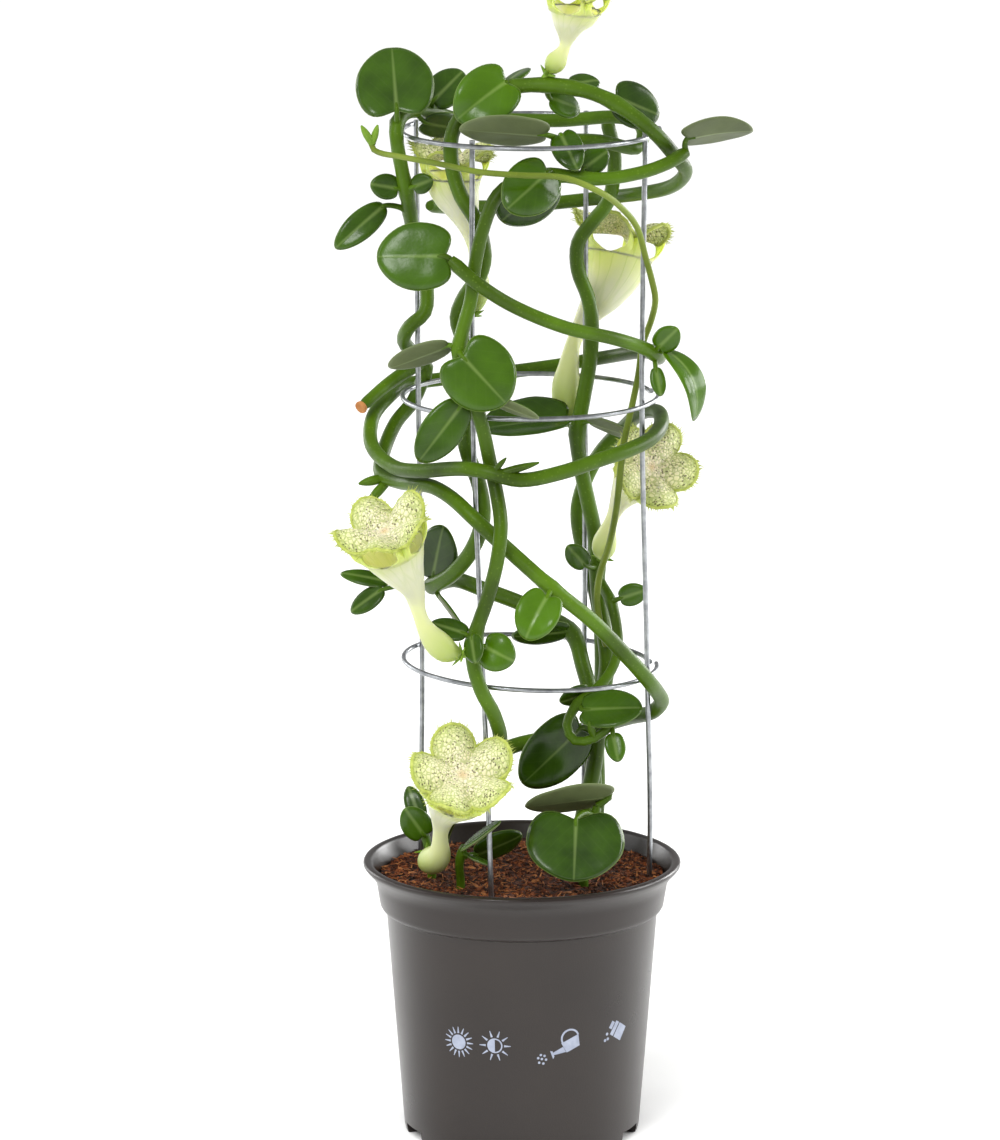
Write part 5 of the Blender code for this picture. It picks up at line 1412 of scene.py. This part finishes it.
def sun_mark(centre, half):
    """A round sun with tapering rays; the half sun is filled on one side only."""
    rays = 10 if half else 16
    if half:
        shapes = [arc(centre, SUN_RADIUS, 20, math.pi / 2, math.pi)]
        shapes += arched_band(centre, SUN_RADIUS, SUN_RADIUS - SUN_LINE, 20, -math.pi / 2, math.pi)
    else:
        shapes = [arc(centre, SUN_RADIUS, 32)[:-1]]
    ray = [(RAY_FOOT, -RAY_FOOT_HALF), (RAY_TIP, -RAY_TIP_HALF), (RAY_TIP, RAY_TIP_HALF),
           (RAY_FOOT, RAY_FOOT_HALF)]
    for i in range(rays):
        shapes += tilted(centre, 360 * i / rays, [ray])
    return shapes


def can_mark(centre):
    """A watering can that tips to the left, with drops under its rose."""
    body = [[(-1.5, -3.4), (4.2, -3.4), (5.4, 1.0), (-2.0, 1.0)],
            [(-1.7, -3.0), (-1.9, -0.6), (-6.2, -0.9), (-6.4, -1.9)],
            [(-6.2, -0.3), (-6.4, -2.6), (-7.2, -3.2), (-7.0, 0.2)]]
    handle = arched_band((1.9, 1.2), 3.7, 3.0, 16, -0.1, math.pi + 0.2)
    return tilted(centre, 24, body + handle) + drops(centre, 0.5, (
        (-8.6, -4.4), (-10.0, -4.0), (-8.0, -5.9), (-9.6, -5.6), (-11.0, -5.2), (-9.0, -7.4), (-10.6, -7.0)))


def bottle_mark(centre):
    """A feeding bottle that pours to the left, with a bare stripe and its drops."""
    return tilted(centre, -32, [
        [(-2.8, -2.9), (-1.0, -2.9), (-1.0, 2.9), (-2.8, 2.9)],
        [(-0.5, -2.9), (4.0, -2.9), (4.0, 2.9), (-0.5, 2.9)],
        [(-4.8, -1.0), (-3.2, -1.0), (-3.2, 2.0), (-4.8, 2.0)],
    ]) + drops(centre, 0.6, ((-5.4, -0.6), (-4.9, -2.6), (-6.2, -3.0)))


def film_of(outline):
    """One flat outline, sliced into upright strips so that it can follow the round wall."""
    film = bmesh.new()
    film.faces.new([film.verts.new((u, 0, z)) for u, z in outline])
    least = min(u for u, _ in outline)
    most = max(u for u, _ in outline)
    for i in range(1, math.ceil((most - least) / STRIP)):
        bmesh.ops.bisect_plane(film, geom=film.verts[:] + film.edges[:] + film.faces[:],
                               plane_co=(least + STRIP * i, 0, 0), plane_no=(1, 0, 0))
    return film


def print_on_wall(name, outlines):
    """Wraps flat outlines on the pot's wall as thin closed films of ink."""
    shape = bmesh.new()
    for outline in outlines:
        film = film_of(outline)
        pairs = {}
        for corner in film.verts:
            turn = corner.co.x / wall_radius(MARK_HEIGHT)
            height = corner.co.z
            pairs[corner] = [shape.verts.new(Vector((
                (wall_radius(height) + proud) * math.sin(turn),
                -(wall_radius(height) + proud) * math.cos(turn), height)) * MM)
                for proud in (INK_PROUD, INK_SUNK)]
        for face in film.faces:
            shape.faces.new([pairs[corner][0] for corner in face.verts])
            shape.faces.new([pairs[corner][1] for corner in reversed(face.verts)])
        for edge in film.edges:
            if len(edge.link_faces) == 1:
                a, b = (pairs[corner] for corner in edge.verts)
                shape.faces.new((a[0], a[1], b[1], b[0]))
        film.free()
    bmesh.ops.recalc_face_normals(shape, faces=shape.faces)
    return to_object(name, shape, screen_ink)


marks = print_on_wall("care_marks", (
    sun_mark((-24.8, 45.0), False) + sun_mark((-10.3, 45.0), True)
    + can_mark((17.0, 45.5)) + bottle_mark((40.0, 47.0))))
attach(marks, "root")
print("care mark faces:", len(marks.data.polygons))

# %% [markdown]
# ## Soil
# The CAD's soil fills the pot and keeps its place. On top of it lies the loose surface that the eye
# sees: an uneven bed, then crumbs of peat, short coir fibres and a few bark chips, scattered by a tree
# with a fixed seed. Each of them has only 20 faces, since there are thousands.

# %% The soil bed
for place in frame["nodes"]["soil"].material_slots:
    place.material = peat_soil
BED_RADIUS = 53.2
BED_HEIGHT, BED_MOUND = 98.9, 0.9
BED_RINGS, BED_SIDES = 46, 150
LUMPS = ((0, 0.11, 1.1), (7, 0.32, 0.7))


def make_bed():
    """The uneven top of the soil, as a thin sheet over the fill."""
    shape = bmesh.new()
    rows = []
    for j in range(BED_RINGS + 1):
        radius = BED_RADIUS * j / BED_RINGS
        row = []
        for angle in turns(BED_SIDES) if j else [0.0]:
            x, y = radius * math.cos(angle), radius * math.sin(angle)
            lumps = sum(noise.noise(Vector((x, y, layer)) * fineness) * height
                        for layer, fineness, height in LUMPS)
            z = BED_HEIGHT + BED_MOUND * (1 - (radius / BED_RADIUS)**2) + lumps
            row.append(shape.verts.new(Vector((x, y, z)) * MM))
        rows.append(row)
    for k in range(BED_SIDES):
        n = (k + 1) % BED_SIDES
        shape.faces.new((rows[0][0], rows[1][k], rows[1][n]))
        for low, high in zip(rows[1:], rows[2:]):
            shape.faces.new((low[k], high[k], high[n], low[n]))
    for face in shape.faces:
        face.smooth = True
    return to_object("soil_bed", shape, peat_soil)


CRUMB_UNEVEN = (0.7, 1.25)


def crumb(name, stretch, seed, finish):
    """One small lump with 20 faces, pushed about by a seeded draw."""
    draw = random.Random(seed)
    shape = bmesh.new()
    bmesh.ops.create_icosphere(shape, subdivisions=1, radius=1 * MM)
    for vertex in shape.verts:
        vertex.co *= draw.uniform(*CRUMB_UNEVEN)
        vertex.co = Vector([c * s for c, s in zip(vertex.co, stretch)])
    return to_object(name, shape, finish)


def make_scatter_tree():
    """Copies of one form over a surface: density, size range and seed are inputs."""
    tree, given, identifiers = new_tree("scatter_over_soil", [
        ("Surface", "Geometry"), ("Form", "Object"), ("Density", "Float"), ("Least size", "Float"),
        ("Most size", "Float"), ("Seed", "Int"), ("Finish", "Material")])
    points = add_node(tree, "GeometryNodeDistributePointsOnFaces", {
        "Mesh": given["Surface"], "Density": given["Density"], "Seed": given["Seed"]})
    shown = add_node(tree, "GeometryNodeObjectInfo", {"Object": given["Form"]})
    turn = add_node(tree, "FunctionNodeRandomValue", {
        0: (-0.5, -0.5, 0.0), 1: (0.5, 0.5, 6.28), "Seed": given["Seed"]}, data_type="FLOAT_VECTOR")
    size = add_node(tree, "FunctionNodeRandomValue", {
        2: given["Least size"], 3: given["Most size"], "Seed": given["Seed"]})
    copies = add_node(tree, "GeometryNodeInstanceOnPoints", {
        "Points": points.outputs["Points"], "Instance": shown.outputs["Geometry"],
        "Rotation": turn.outputs[0], "Scale": size.outputs[1]})
    end_tree(tree, copies.outputs[0], given["Finish"])
    return tree, identifiers


scatter_tree, SCATTER_INPUTS = make_scatter_tree()
bed = make_bed()
loose = []
for name, stretch, form_seed, per_square_cm, least, most, seed, finish in (
        ("peat_crumbs", (1.0, 0.9, 0.7), 3, 34.0, 0.45, 1.25, 11, peat_soil),
        ("coir_fibres", (2.6, 0.22, 0.2), 5, 9.0, 0.5, 1.3, 12, coir_fibre),
        ("bark_chips", (1.5, 0.8, 0.35), 8, 1.6, 0.7, 1.7, 13, coir_fibre)):
    form = crumb(f"{name}_form", stretch, form_seed, finish)
    loose.append(run_tree(link(name, bed.data.copy()), scatter_tree, SCATTER_INPUTS,
                          (form, per_square_cm * 1e4, least, most, seed, finish)))
    bpy.data.objects.remove(form)
for piece in [bed] + loose:
    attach(piece, "root")
    print(piece.name, "faces:", len(piece.data.polygons))

# %% [markdown]
# ## Studio
# The photo is a cut-out on white with soft light from both sides, so the floor is plain and pale and
# the sky is white. A broad sky light gives the shading and has no mirror image of its own. Two side
# lamps, two edge lamps behind and a small front lamp make the gloss on the leaves and the pot. The view
# transform is Standard, because the photo's white is plain paper white.

# %% Floor and light
def lamp(name, place, aim, size, watts):
    """A square soft lamp that looks at a point."""
    data = bpy.data.lights.new(name, "AREA")
    data.shape = "SQUARE"
    data.size = size
    data.energy = watts
    made = link(name, data)
    made.location = place
    made.rotation_euler = (Vector(aim) - Vector(place)).to_track_quat("-Z", "Y").to_euler()


floor_shape = bmesh.new()
bmesh.ops.create_grid(floor_shape, x_segments=1, y_segments=1, size=6.0)
floor = to_object("studio_floor", floor_shape, make_plain_finish(
    "matt_white_floor", 0.9, 0.7, [(0.3, "#f4f4f3"), (0.7, "#f8f8f7")]))
lamp("left_softbox", (-1.5, 0.1, 0.8), (0, 0, 0.25), 0.8, 5)
lamp("right_softbox", (1.5, 0.2, 0.7), (0, 0, 0.2), 0.8, 16)
lamp("left_edge_light", (-1.2, 1.2, 0.5), (0, 0, 0.15), 0.6, 6)
lamp("right_edge_light", (1.2, 1.2, 0.5), (0, 0, 0.15), 0.6, 12)
sky_light = bpy.data.lights.new("sky_light", "SUN")
sky_light.energy = 2.9
sky_light.angle = math.radians(50)
sky_lamp = link("sky_light", sky_light)
sky_lamp.rotation_euler = (math.radians(35), math.radians(-14), 0)
sky_lamp.visible_glossy = False
lamp("front_softbox", (-0.6, -1.5, 1.1), (0, 0, 0.25), 0.35, 7)
world = bpy.data.worlds.new("white_sky")
world.use_nodes = True
sky = world.node_tree.nodes["Background"].inputs
sky["Color"].default_value = linear("#ffffff")
sky["Strength"].default_value = 0.45
bpy.context.scene.world = world
bpy.context.scene.view_settings.view_transform = "Standard"
